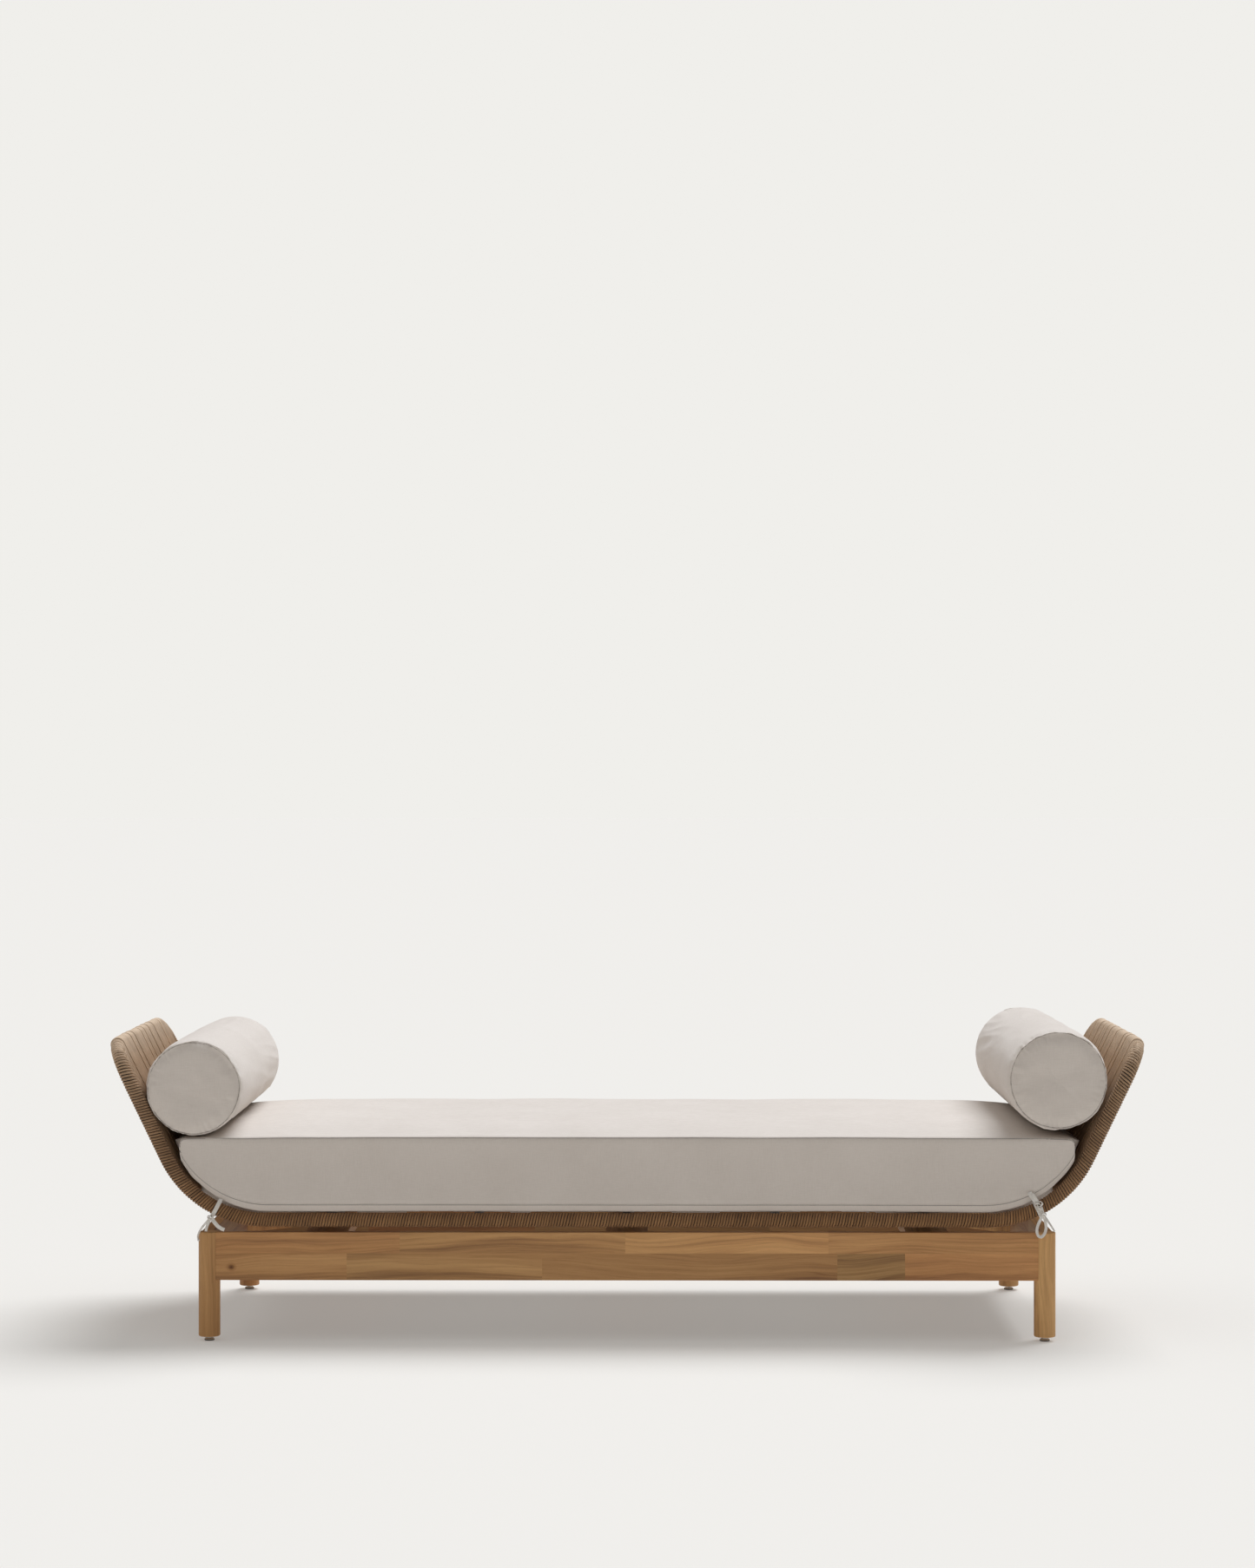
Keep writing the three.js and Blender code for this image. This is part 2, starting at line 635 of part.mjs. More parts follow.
function ties() {
  const set = new THREE.Group();
  const x = BEND_X + BEND_RADIUS * Math.sin(TIE_ANGLE);
  const z = RAIL_Z + BEND_RADIUS * (1 - Math.cos(TIE_ANGLE));
  const mirror = new THREE.Matrix4().makeScale(-1, 1, 1);
  for (const [face, y] of FACES) {
    for (const [side, sign] of SIDES) {
      const turned = y > 0;
      const geometry = tieGeometry();
      // turning a tie to the rear also swaps left and right
      if ((sign > 0) !== turned) {
        geometry.applyMatrix4(mirror);
        geometry.index.array.reverse();
      }
      const tie = piece(`tie_${face}_${side}`, geometry, 'tape');
      tie.position.set(sign * x, y * RAIL_Y, z);
      tie.rotation.z = turned ? Math.PI : 0;
      set.add(tie);
    }
  }
  return set;
}

// ---- Assembly -----------------------------------------------------------

const daybed = new THREE.Group();
daybed.add(woodenBase(), levellers(), steelTray(), ropework(), mattressWithZip());
for (const [side, sign] of SIDES) {
  daybed.add(bolster(side, sign));
}
daybed.add(ties());

export default daybed;
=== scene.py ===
"""Daybed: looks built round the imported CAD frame. Metres, +Z up, the front faces -Y."""
import math

import bpy
import numpy as np
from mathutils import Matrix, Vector, noise
from mathutils.bvhtree import BVHTree


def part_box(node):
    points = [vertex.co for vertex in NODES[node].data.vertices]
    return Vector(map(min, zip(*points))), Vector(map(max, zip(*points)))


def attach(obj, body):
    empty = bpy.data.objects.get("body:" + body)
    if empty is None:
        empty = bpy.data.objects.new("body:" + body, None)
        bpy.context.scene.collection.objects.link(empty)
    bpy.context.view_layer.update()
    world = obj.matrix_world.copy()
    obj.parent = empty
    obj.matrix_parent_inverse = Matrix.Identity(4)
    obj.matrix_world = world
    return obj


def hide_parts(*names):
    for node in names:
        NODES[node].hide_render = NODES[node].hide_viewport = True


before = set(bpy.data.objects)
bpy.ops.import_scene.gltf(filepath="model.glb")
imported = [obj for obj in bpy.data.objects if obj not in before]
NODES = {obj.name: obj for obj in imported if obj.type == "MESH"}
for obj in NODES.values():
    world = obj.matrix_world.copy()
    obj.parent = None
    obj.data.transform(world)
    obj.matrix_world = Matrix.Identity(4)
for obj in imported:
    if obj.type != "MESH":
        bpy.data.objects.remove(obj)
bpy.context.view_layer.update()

BODY = "daybed_frame"
CORNERS = [(face, side) for face in ("front", "rear") for side in ("left", "right")]
SIGN = {"left": -1, "right": 1, "front": -1, "rear": 1}


# ---- Sizes, from the frame's boxes and the tray's own curve ----------------

def low(node):
    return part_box(node)[0]


def high(node):
    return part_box(node)[1]


def middle(node):
    return (low(node) + high(node)) / 2


TUBE_RADIUS = (high("cross_tube_3").x - low("cross_tube_3").x) / 2
ROPE_DIAMETER = 0.006
WRAP_RADIUS = TUBE_RADIUS + ROPE_DIAMETER
RAIL_Y = -low("rope_wrap_front").y - WRAP_RADIUS
RAIL_Z = low("rope_wrap_front").z + WRAP_RADIUS
BEND_RADIUS = 0.234
SLOPE = math.radians(64.2)
FOOT_ANGLE = SLOPE * 2 / 3
FOOT_TUBE = Vector((high("foot_tube_right").x - TUBE_RADIUS, 0, middle("foot_tube_right").z))
BEND_X = FOOT_TUBE.x - BEND_RADIUS * math.sin(FOOT_ANGLE)
FOOT = Vector((BEND_X + BEND_RADIUS * math.sin(SLOPE), 0,
               RAIL_Z + BEND_RADIUS * (1 - math.cos(SLOPE))))
BAR = Vector((middle("top_bar_right").x, 0, middle("top_bar_right").z))
SLOPE_LENGTH = (BAR - FOOT).length
RAIL_STUB = 0.004
CORNER_RADIUS = RAIL_Y - RAIL_STUB - high("top_bar_right").y

LEG_X = middle("leg_front_right").x
LEG_Y = -middle("leg_front_right").y
LEG_RADIUS = (high("leg_front_right").x - low("leg_front_right").x) / 2
BASE_TOP = high("leg_front_right").z
APRON_OUTSET = 0.0175  # from the line between the legs' axes to an apron's outer face
APRON_THICKNESS = 0.025
UPPER_PLANKS_FROM = 0.565  # height of the joint between an apron's planks, as a share of its own


# ---- Mesh helpers ----------------------------------------------------------

def linked(name, data):
    """A new object in the scene."""
    item = bpy.data.objects.new(name, data)
    bpy.context.scene.collection.objects.link(item)
    return item


def make_object(name, vertices, faces, material, body, smooth=True):
    mesh = bpy.data.meshes.new(name)
    mesh.from_pydata([tuple(v) for v in vertices], [], [tuple(f) for f in faces])
    mesh.update()
    mesh.polygons.foreach_set("use_smooth", [smooth] * len(mesh.polygons))
    mesh.materials.append(material)
    piece = linked(name, mesh)
    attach(piece, body)
    return piece


def swept_rings(centres, side, up, section):
    """Vertices of rings: section's (a, b) points set at each centre on its side and up vectors."""
    section = np.asarray(section)
    return (centres[:, None, :] + side[:, None, :] * section[None, :, 0, None]
            + up[:, None, :] * section[None, :, 1, None]).reshape(-1, 3)


def ring_faces(rings, around, first=0, closed=False):
    """Quads between rings, with end caps unless the sweep closes on itself."""
    faces = []
    links = rings if closed else rings - 1
    for ring in range(links):
        here = first + ring * around
        there = first + (ring + 1) % rings * around
        for k in range(around):
            after = (k + 1) % around
            faces.append((here + k, here + after, there + after, there + k))
    if not closed:
        faces.append(tuple(first + k for k in reversed(range(around))))
        faces.append(tuple(first + (rings - 1) * around + k for k in range(around)))
    return faces


def lathe_rings(centre, profile, around):
    """Vertices of level rings round centre, one for each (radius, height) of a profile."""
    turns = [2 * math.pi * k / around for k in range(around)]
    return [(centre.x + r * math.cos(turn), centre.y + r * math.sin(turn), z)
            for r, z in profile for turn in turns]


def quarter(count):
    """Angles through a quarter turn, for a rounded edge."""
    return np.linspace(0, math.pi / 2, count)


def round_section(radius, sides, squash=1.0):
    angles = np.arange(sides) / sides * 2 * math.pi
    return np.stack([np.cos(angles) * radius, np.sin(angles) * radius * squash], 1)


def along(points):
    """Distance from the start at each point of a polyline."""
    steps = np.linalg.norm(np.diff(points, axis=0), axis=1)
    return np.concatenate([[0], np.cumsum(steps)])


def read_off(places, distance, rows):
    """The 3-vectors of rows, read off at places along the line that they were taken on."""
    return np.stack([np.interp(places, distance, rows[:, k]) for k in range(3)], 1)


def unit(vectors):
    return vectors / np.linalg.norm(vectors, axis=-1, keepdims=True)


def tangents(points, closed=False):
    if closed:
        return unit(np.roll(points, -1, axis=0) - np.roll(points, 1, axis=0))
    return unit(np.gradient(points, axis=0))


# ---- Materials ---------------------------------------------------------------

class Nodes:
    """A material's node tree with short calls for adding and joining nodes."""

    def __init__(self, name):
        self.material = bpy.data.materials.new(name)
        self.material.use_nodes = True
        self.tree = self.material.node_tree
        self.shader = self.tree.nodes["Principled BSDF"]

    def add(self, kind, inputs=None, **settings):
        node = self.tree.nodes.new(kind)
        for key, value in settings.items():
            setattr(node, key, value)
        for key, value in (inputs or {}).items():
            self.set(node.inputs[key], value)
        return node

    def set(self, socket, value):
        if isinstance(value, bpy.types.NodeSocket):
            self.tree.links.new(value, socket)
        else:
            socket.default_value = value

    def math(self, operation, a, b=0.0):
        return self.add("ShaderNodeMath", {0: a, 1: b}, operation=operation).outputs[0]

    def place(self):
        return self.add("ShaderNodeTexCoord").outputs["Object"]

    def split(self, vector):
        return self.add("ShaderNodeSeparateXYZ", {"Vector": vector}).outputs

    def attribute(self, name):
        return self.add("ShaderNodeAttribute", attribute_name=name).outputs

    def spread(self, value, least, most):
        """A value from 0 to 1 spread over another range."""
        return self.add("ShaderNodeMapRange", {"Value": value, "To Min": least,
                                               "To Max": most}).outputs[0]

    def weighted(self, *parts):
        """The sum of its (value, weight) parts."""
        total = 0.0
        for index, (value, weight) in enumerate(parts):
            product = self.math("MULTIPLY", value, weight)
            total = self.math("ADD", total, product) if index else product
        return total

    def noise(self, vector, scale, detail=3.0, roughness=0.5):
        node = self.add("ShaderNodeTexNoise", {"Vector": vector, "Scale": scale,
                                               "Detail": detail, "Roughness": roughness})
        return node.outputs["Fac"]

    def scaled(self, vector, scale):
        return self.add("ShaderNodeMapping", {"Vector": vector, "Scale": scale}).outputs[0]

    def ramp(self, value, *stops):
        node = self.add("ShaderNodeValToRGB", {"Fac": value})
        elements = node.color_ramp.elements
        while len(elements) < len(stops):
            elements.new(0.5)
        for element, (position, color) in zip(elements, stops):
            element.position = position
            element.color = (*color, 1)
        return node.outputs["Color"]

    def mix(self, factor, a, b, blend="MIX"):
        node = self.add("ShaderNodeMix", {"Factor": factor}, data_type="RGBA", blend_type=blend)
        for index, value in ((6, a), (7, b)):
            self.set(node.inputs[index], value if isinstance(value, bpy.types.NodeSocket)
                     else (*value, 1))
        return node.outputs[2]

    def tint(self, color, by):
        return self.mix(1.0, color, by, "MULTIPLY")

    def bump(self, height, strength, distance, normal=None):
        node = self.add("ShaderNodeBump", {"Height": height, "Strength": strength,
                                           "Distance": distance})
        if normal is not None:
            self.set(node.inputs["Normal"], normal)
        return node.outputs["Normal"]

    def finish(self, color, roughness, normal=None, **constants):
        self.set(self.shader.inputs["Base Color"], color if isinstance(
            color, bpy.types.NodeSocket) else (*color, 1))
        self.set(self.shader.inputs["Roughness"], roughness)
        if normal is not None:
            self.set(self.shader.inputs["Normal"], normal)
        for key, value in constants.items():
            self.shader.inputs[key.replace("_", " ")].default_value = value
        return self.material


GOLDEN = (0.66, 0.388, 0.170)
HONEY = (0.50, 0.272, 0.112)
UMBER = (0.26, 0.128, 0.056)


def wood_material(name, grain_axis=None, knot=None):
    """Oiled acacia. The grain runs along the first part of the mesh's "grain" attribute,
    or along grain_axis of the object where the mesh has none."""
    n = Nodes(name)
    if grain_axis is None:
        grain = n.attribute("grain")["Vector"]
        tone = n.attribute("tone")["Fac"]
    else:
        turn = {"X": (0, 0, 0), "Y": (0, 0, -math.pi / 2), "Z": (0, math.pi / 2, 0)}[grain_axis]
        grain = n.add("ShaderNodeMapping", {"Vector": n.place(), "Rotation": turn}).outputs[0]
        tone = 0.5
    # the grain wanders slowly up and down the board
    drift = n.noise(n.scaled(grain, (2.2, 5.0, 5.0)), 1.0, 2.0)
    shift = n.add("ShaderNodeCombineXYZ", {"Y": n.math("MULTIPLY", drift, 0.075)}).outputs[0]
    bent = n.add("ShaderNodeVectorMath", {0: grain, 1: shift}, operation="ADD").outputs[0]
    figure = n.noise(n.scaled(bent, (1.3, 30.0, 30.0)), 1.0, 5.0, 0.6)
    streaks = n.noise(n.scaled(bent, (3.0, 190.0, 190.0)), 1.0, 3.0, 0.55)
    fibres = n.noise(n.scaled(bent, (12.0, 900.0, 900.0)), 1.0, 3.0, 0.6)
    pores = n.noise(n.scaled(grain, (60.0, 1500.0, 1500.0)), 1.0, 1.0)
    blend = n.weighted((figure, 0.62), (streaks, 0.24), (fibres, 0.14))
    color = n.ramp(blend, (0.34, UMBER), (0.49, HONEY), (0.65, GOLDEN))
    # fine dark growth lines, here and there
    lines = n.noise(n.scaled(bent, (0.8, 26.0, 26.0)), 1.0, 2.0)
    lines = n.math("ABSOLUTE", n.math("SUBTRACT", n.math("FRACT", n.math("MULTIPLY", lines, 9.0)), 0.5))
    where = n.noise(n.scaled(bent, (1.7, 14.0, 14.0)), 1.0, 2.0)
    lines = n.ramp(lines, (0.0, (0.70, 0.62, 0.56)), (0.09, (1, 1, 1)))
    color = n.mix(n.ramp(where, (0.50, (0, 0, 0)), (0.66, (0.8, 0.8, 0.8))), color,
                  n.tint(color, lines))
    # every plank leans to its own hue
    hue = n.noise(n.scaled(grain, (0.25, 0.25, 0.25)), 1.0, 1.0)
    color = n.tint(color, n.ramp(hue, (0.36, (1.07, 0.94, 0.87)), (0.64, (0.97, 1.0, 0.95))))
    pore_mask = n.ramp(pores, (0.60, (1, 1, 1)), (0.72, (0.76, 0.70, 0.64)))
    color = n.mix(0.5, color, pore_mask, "MULTIPLY")
    # tone: each plank's own shade, and painted shade on the aprons' inner faces
    light = n.ramp(tone, (0.0, (0.62, 0.60, 0.60)), (0.5, (1, 1, 1)), (1.0, (1.40, 1.46, 1.5)))
    color = n.tint(color, light)
    if knot is not None:
        offset = n.add("ShaderNodeVectorMath", {0: n.place(), 1: knot}, operation="SUBTRACT")
        size = n.scaled(offset.outputs[0], (1.0, 0.2, 1.25))
        away = n.add("ShaderNodeVectorMath", {0: size}, operation="LENGTH").outputs["Value"]
        away = n.math("ADD", away, n.math("MULTIPLY", drift, 0.002))
        shade = n.ramp(n.math("MULTIPLY", away, 60.0), (0.10, (0.22, 0.15, 0.12)),
                       (0.34, (0.50, 0.42, 0.36)), (0.52, (0.80, 0.74, 0.70)), (0.85, (1, 1, 1)))
        color = n.tint(color, shade)
    normal = n.bump(fibres, 0.12, 0.0004, n.bump(pores, 0.10, 0.0003))
    return n.finish(color, n.spread(figure, 0.62, 0.48), normal, Specular_IOR_Level=0.35)


YARNS = 4  # twisted together in a cord
YARN_STEP = 0.0062  # along the cord, from one yarn to the next


def rope_material():
    """Outdoor cord of fine twisted yarns, with painted shade low on the tray and painted light towards
    its top.
    """
    n = Nodes("rope_cord")
    uv = n.add("ShaderNodeUVMap", uv_map="UVMap").outputs[0]
    lengthwise, round_it = n.split(uv)[:2]
    twist = n.math("MULTIPLY", lengthwise, 2 * math.pi / YARN_STEP)
    turn = n.math("MULTIPLY", round_it, 2 * math.pi * YARNS)
    yarns = n.math("SINE", n.math("ADD", twist, turn))
    place = n.place()
    tint = n.noise(place, 30.0, 3.0)
    fibre = n.noise(place, 2200.0, 2.0)
    shade = n.attribute("tone")["Fac"]
    # painted shade and light: the cord's colour runs from dark low on the tray to pale at the top bar
    height_shading = n.add("ShaderNodeMapRange", {"Value": n.split(place)[2], "From Min": RAIL_Z + 0.01,
                                          "From Max": BAR.z + 0.012}).outputs[0]
    color = n.ramp(height_shading, (0.0, (0.315, 0.172, 0.078)), (0.25, (0.31, 0.185, 0.100)),
                   (0.62, (0.345, 0.220, 0.130)), (0.86, (0.44, 0.305, 0.195)),
                   (1.0, (0.72, 0.570, 0.425)))
    # painted shade in the grooves between the yarns
    ridges = n.math("ADD", n.math("MULTIPLY", yarns, 0.5), 0.5)
    color = n.tint(color, n.ramp(tint, (0.3, (0.90, 0.89, 0.88)), (0.7, (1.08, 1.08, 1.08))))
    color = n.tint(color, n.ramp(ridges, (0.0, (0.90, 0.89, 0.88)), (0.6, (1.03, 1.03, 1.03))))
    # tone attribute: random per turn and strand, plus the painted highlight on strands past a gap
    color = n.tint(color, n.ramp(shade, (0.0, (0.80, 0.78, 0.76)), (1.0, (1.22, 1.20, 1.18))))
    normal = n.bump(fibre, 0.10, 0.0004, n.bump(yarns, 0.30, 0.0005))
    return n.finish(color, 0.8, normal, Specular_IOR_Level=0.25, Sheen_Weight=0.1,
                    Sheen_Roughness=0.5)


THREAD = 0.0011


def fabric_material(name, light, dark, patches=7.0):
    """Plain-woven outdoor fabric with a mottle from its mixed yarns, of that many patches a metre."""
    n = Nodes(name)
    place = n.place()
    step = 2 * math.pi / THREAD
    waves = [n.math("SINE", n.math("MULTIPLY", part, step)) for part in n.split(place)]
    weave = n.math("MULTIPLY", n.math("MULTIPLY", n.math("ADD", waves[0], waves[2]),
                                      n.math("ADD", waves[1], waves[2])), 0.25)
    yarn = n.noise(n.scaled(place, (60.0, 60.0, 900.0)), 1.0, 3.0, 0.65)
    weft = n.noise(n.scaled(place, (900.0, 300.0, 60.0)), 1.0, 3.0, 0.65)
    mottle = n.noise(place, patches, 4.0, 0.6)
    mixed = n.weighted((yarn, 0.35), (weft, 0.35), (mottle, 0.30))
    color = n.ramp(mixed, (0.38, dark), (0.62, light))
    crease = n.noise(n.scaled(place, (9.0, 5.0, 16.0)), 1.0, 5.0, 0.6)
    normal = n.bump(weave, 0.18, 0.0003, n.bump(crease, 0.16, 0.006))
    return n.finish(color, 0.9, normal, Specular_IOR_Level=0.2, Sheen_Weight=0.2,
                    Sheen_Roughness=0.6)


def tape_material():
    n = Nodes("tie_tape")
    place = n.place()
    rib_width = 0.0012
    ribs = n.math("SINE", n.math("MULTIPLY", n.split(place)[2], 2 * math.pi / rib_width))
    color = n.ramp(n.noise(place, 90.0, 3.0), (0.3, (0.74, 0.70, 0.64)), (0.7, (0.90, 0.87, 0.82)))
    return n.finish(color, 0.85, n.bump(ribs, 0.25, 0.0003), Sheen_Weight=0.2)


def foot_material(split):
    """A leveller's foot: dark rubber below split, a pale cap above."""
    n = Nodes("leveller_foot")
    place = n.place()
    grime = n.ramp(n.noise(place, 240.0, 4.0, 0.6), (0.3, (0.80, 0.79, 0.77)), (0.7, (1, 1, 1)))
    above = n.math("GREATER_THAN", n.split(place)[2], split)
    color = n.mix(above, (0.030, 0.026, 0.022), (0.74, 0.70, 0.63))
    return n.finish(n.tint(color, grime), n.spread(above, 0.75, 0.32))


def metal_material(name, color, roughness, metallic):
    """A smooth finish, a little darker and rougher in patches."""
    n = Nodes(name)
    place = n.place()
    grime = n.noise(place, 160.0, 4.0, 0.6)
    shaded = n.mix(n.math("MULTIPLY", grime, 0.24), color, tuple(c * 0.55 for c in color))
    return n.finish(shaded, n.spread(grime, roughness * 0.8, roughness * 1.25),
                    n.bump(n.noise(place, 1400.0, 2.0), 0.06, 0.0003), Metallic=metallic)


WOOD = wood_material("acacia_planks")
FRONT_WOOD = wood_material("acacia_front", knot=(-0.842, -LEG_Y - APRON_OUTSET, 0.158))
ROPE = rope_material()
FABRIC = fabric_material("cover_fabric", (0.775, 0.712, 0.655), (0.700, 0.636, 0.578))
# painted shade: the dark seam rolls stand for the shadow in the seams' creases
SEAM_CREASE_SHADE = fabric_material("seam_crease_shade", (0.40, 0.36, 0.33), (0.30, 0.27, 0.25))
# painted shade in patches: the bolsters' seams are dark only where their crease shows
SEAM_PATCHY_SHADE = fabric_material("seam_patchy_shade", (0.66, 0.60, 0.55), (0.22, 0.19, 0.17), 14.0)
TAPE = tape_material()
STEEL = metal_material("coated_steel", (0.055, 0.048, 0.043), 0.5, 0.3)
NICKEL = metal_material("nickel", (0.62, 0.59, 0.54), 0.3, 1.0)
PLASTIC = metal_material("dark_plastic", (0.045, 0.038, 0.032), 0.55, 0.0)
PAD = foot_material(split=0.0026)
ZIP_TAPE = fabric_material("zip_tape", (0.56, 0.53, 0.50), (0.48, 0.45, 0.43))
ZIP_TEETH = metal_material("zip_teeth", (0.42, 0.40, 0.38), 0.4, 0.0)


# ---- Camera, floor and light -------------------------------------------------

CAMERA_PLACE = (0.048, -7.54, 1.202)
CAMERA_TURN = (math.radians(90 - 0.12), 0, math.radians(0.37))
PALE = (0.871, 0.862, 0.831)
FLOOR_GLOW = (0.246, 0.246, 0.240)
SKY = ((0.0, (0.072, 0.056, 0.040)), (0.35, (0.132, 0.117, 0.106)), (1.0, (0.51, 0.51, 0.51)))
LEFT_BOOST = 1.85


def make_camera():
    data = bpy.data.cameras.new("camera")
    data.lens = 77.3
    data.sensor_width = 36
    data.clip_end = 200
    camera = linked("camera", data)
    camera.location = CAMERA_PLACE
    camera.rotation_euler = CAMERA_TURN
    bpy.context.scene.camera = camera


def make_floor():
    n = Nodes("studio_floor")
    mesh = bpy.data.meshes.new("floor")
    reach = 90
    mesh.from_pydata([(-reach, -reach, 0), (reach, -reach, 0), (reach, reach, 0), (-reach, reach, 0)],
                     [], [(0, 1, 2, 3)])
    mesh.materials.append(n.finish((0.572, 0.552, 0.520), 1.0, Specular_IOR_Level=0.0,
                                   Emission_Color=(*FLOOR_GLOW, 1), Emission_Strength=1.0))
    linked("floor", mesh)


def make_world():
    """A soft studio sky: bright overhead and to the left, dim and warm at the other sides, and
    pale where it is seen."""
    world = bpy.data.worlds.new("studio")
    world.use_nodes = True
    bpy.context.scene.world = world
    tree = world.node_tree
    background = tree.nodes["Background"]
    place = tree.nodes.new("ShaderNodeTexCoord")
    split = tree.nodes.new("ShaderNodeSeparateXYZ")
    ramp = tree.nodes.new("ShaderNodeValToRGB")
    fill = tree.nodes.new("ShaderNodeMapRange")
    tree.links.new(split.outputs["X"], fill.inputs["Value"])
    for key, value in (("From Min", -1.0), ("From Max", 0.0), ("To Min", LEFT_BOOST), ("To Max", 1.0)):
        fill.inputs[key].default_value = value
    tree.links.new(fill.outputs[0], background.inputs["Strength"])
    tree.links.new(place.outputs["Generated"], split.inputs[0])
    tree.links.new(split.outputs["Z"], ramp.inputs["Fac"])
    elements = ramp.color_ramp.elements
    elements.new(0.5)
    for element, (position, color) in zip(elements, SKY):
        element.position = position
        element.color = (*color, 1)
    seen = tree.nodes.new("ShaderNodeBackground")
    seen.inputs["Color"].default_value = (*PALE, 1)
    path = tree.nodes.new("ShaderNodeLightPath")
    pick = tree.nodes.new("ShaderNodeMixShader")
    tree.links.new(ramp.outputs["Color"], background.inputs["Color"])
    tree.links.new(path.outputs["Is Camera Ray"], pick.inputs["Fac"])
    tree.links.new(background.outputs[0], pick.inputs[1])
    tree.links.new(seen.outputs[0], pick.inputs[2])
    tree.links.new(pick.outputs[0], tree.nodes["World Output"].inputs["Surface"])


def make_sun():
    data = bpy.data.lights.new("overhead", "SUN")
    data.energy = 2.72
    data.angle = math.radians(38)
    data.color = (0.965, 1.0, 1.05)
    # from above, a little behind the bed and to its right
    linked("overhead", data).rotation_euler = (math.radians(-25), math.radians(17), 0)


make_camera()
make_floor()
make_world()
make_sun()
bpy.context.scene.view_settings.view_transform = "Standard"


# ---- Wooden base -------------------------------------------------------------

def store_grain(mesh, grain, tone):
    """Keeps each corner's place in the grain, and its plank's tone with any painted shade, for the wood
    material.
    """
    layer = mesh.attributes.new("grain", "FLOAT_VECTOR", "CORNER")
    layer.data.foreach_set("vector", np.asarray(grain, np.float32).ravel())
    layer = mesh.attributes.new("tone", "FLOAT", "CORNER")
    layer.data.foreach_set("value", np.asarray(tone, np.float32).ravel())


def board_section(y0, y1, z0, z1, edge, splits=()):
    """A board's outline across its length, rounded at the edges and cut at the plank lines."""
    points = []
    for corner_y, corner_z, start in ((y1, z0, -90), (y1, z1, 0), (y0, z1, 90), (y0, z0, 180)):
        inner_y = corner_y + (edge if corner_y == y0 else -edge)
        inner_z = corner_z + (edge if corner_z == z0 else -edge)
        if start == 0:
            points += [(y1, split) for split in splits]
        if start == 180:
            points += [(y0, split) for split in reversed(splits)]
        for step in range(4):
            angle = math.radians(start + step * 30)
            points.append((inner_y + edge * math.cos(angle), inner_z + edge * math.sin(angle)))
    return points


INSIDE_PAINTED_SHADE = 0.60  # painted shade: how much darker the aprons' inner faces are made, for the shadow inside the base


def apron(name, span, centre, turned, joints, tones, material, seed):
    """A laminated board between two legs, with coped ends. joints are the places along the
    board where its upper and its lower planks meet, and tones their shades."""
    bottom = low(name).z
    split = bottom + (BASE_TOP - bottom) * UPPER_PLANKS_FROM
    inner_face = APRON_THICKNESS - APRON_OUTSET
    edge = 0.0016
    section = board_section(-APRON_OUTSET, inner_face, bottom, BASE_TOP, edge, (split,))
    cope = LEG_RADIUS + 0.0003
    stations = sorted({-1.0, 1.0, *joints[0], *joints[1]})
    vertices = []
    for station in stations:
        for y, z in section:
            coped = abs(station) == 1.0
            x = station * (span - math.sqrt(cope ** 2 - y ** 2)) if coped else station
            vertices.append((x, y, z))
    faces = ring_faces(len(stations), len(section))
    grain, tone = [], []
    generator = np.random.default_rng(seed)
    offsets = generator.uniform(0, 30, (2, 12, 3))
    for face in faces:
        spot = np.mean([vertices[v] for v in face], axis=0)
        row = 0 if spot[2] > split else 1
        plank = sum(spot[0] > joint for joint in joints[row])
        for v in face:
            grain.append(np.array(vertices[v])[[0, 2, 1]] + offsets[row][plank])
            # painted shade on the aprons' inner faces
            tone.append(tones[row][plank] - (INSIDE_PAINTED_SHADE if spot[1] > inner_face - 0.001 else 0))
    angle = math.radians(turned)
    cos, sin = math.cos(angle), math.sin(angle)
    placed = [(centre[0] + x * cos - y * sin, centre[1] + x * sin + y * cos, z)
              for x, y, z in vertices]
    piece = make_object(f"{name}_board", placed, faces, material, BODY, smooth=False)
    store_grain(piece.data, grain, tone)
    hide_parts(name)


def leg(face, side, tone, seed):
    """A turned leg with softened edges; the grain runs up it."""
    node = f"leg_{face}_{side}"
    base = low(node).z
    bore_radius, bore_depth = 0.0043, 0.040
    edge = 0.0028
    profile = [(bore_radius, base), (LEG_RADIUS - edge, base)]
    profile += [(LEG_RADIUS - edge + edge * math.sin(a), base + edge - edge * math.cos(a))
                for a in quarter(6)]
    profile += [(LEG_RADIUS, z) for z in np.linspace(base + 0.03, BASE_TOP - 0.03, 8)]
    edge = 0.0020
    profile += [(LEG_RADIUS - edge + edge * math.cos(a), BASE_TOP - edge + edge * math.sin(a))
                for a in quarter(6)]
    profile += [(0.012, BASE_TOP), (0.0008, BASE_TOP)]
    around = 64
    centre = middle(node)
    vertices = lathe_rings(centre, profile, around)
    faces = ring_faces(len(profile), around)
    # the bore for the leveller's stud
    first = len(vertices)
    vertices += lathe_rings(centre, [(bore_radius, base + bore_depth)], around)
    faces = [f for f in faces if len(f) == 4 or f[0] > around]
    for k in range(around):
        after = (k + 1) % around
        faces.append((first + k, first + after, after, k))
    faces.append(tuple(first + k for k in reversed(range(around))))
    offset = np.random.default_rng(seed).uniform(0, 30, 3)
    grain = [np.array(vertices[v])[[2, 0, 1]] + offset for f in faces for v in f]
    piece = make_object(f"{node}_turned", vertices, faces, WOOD, BODY)
    store_grain(piece.data, grain, [tone] * len(grain))
    piece.data.set_sharp_from_angle(angle=math.radians(40))
    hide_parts(node)


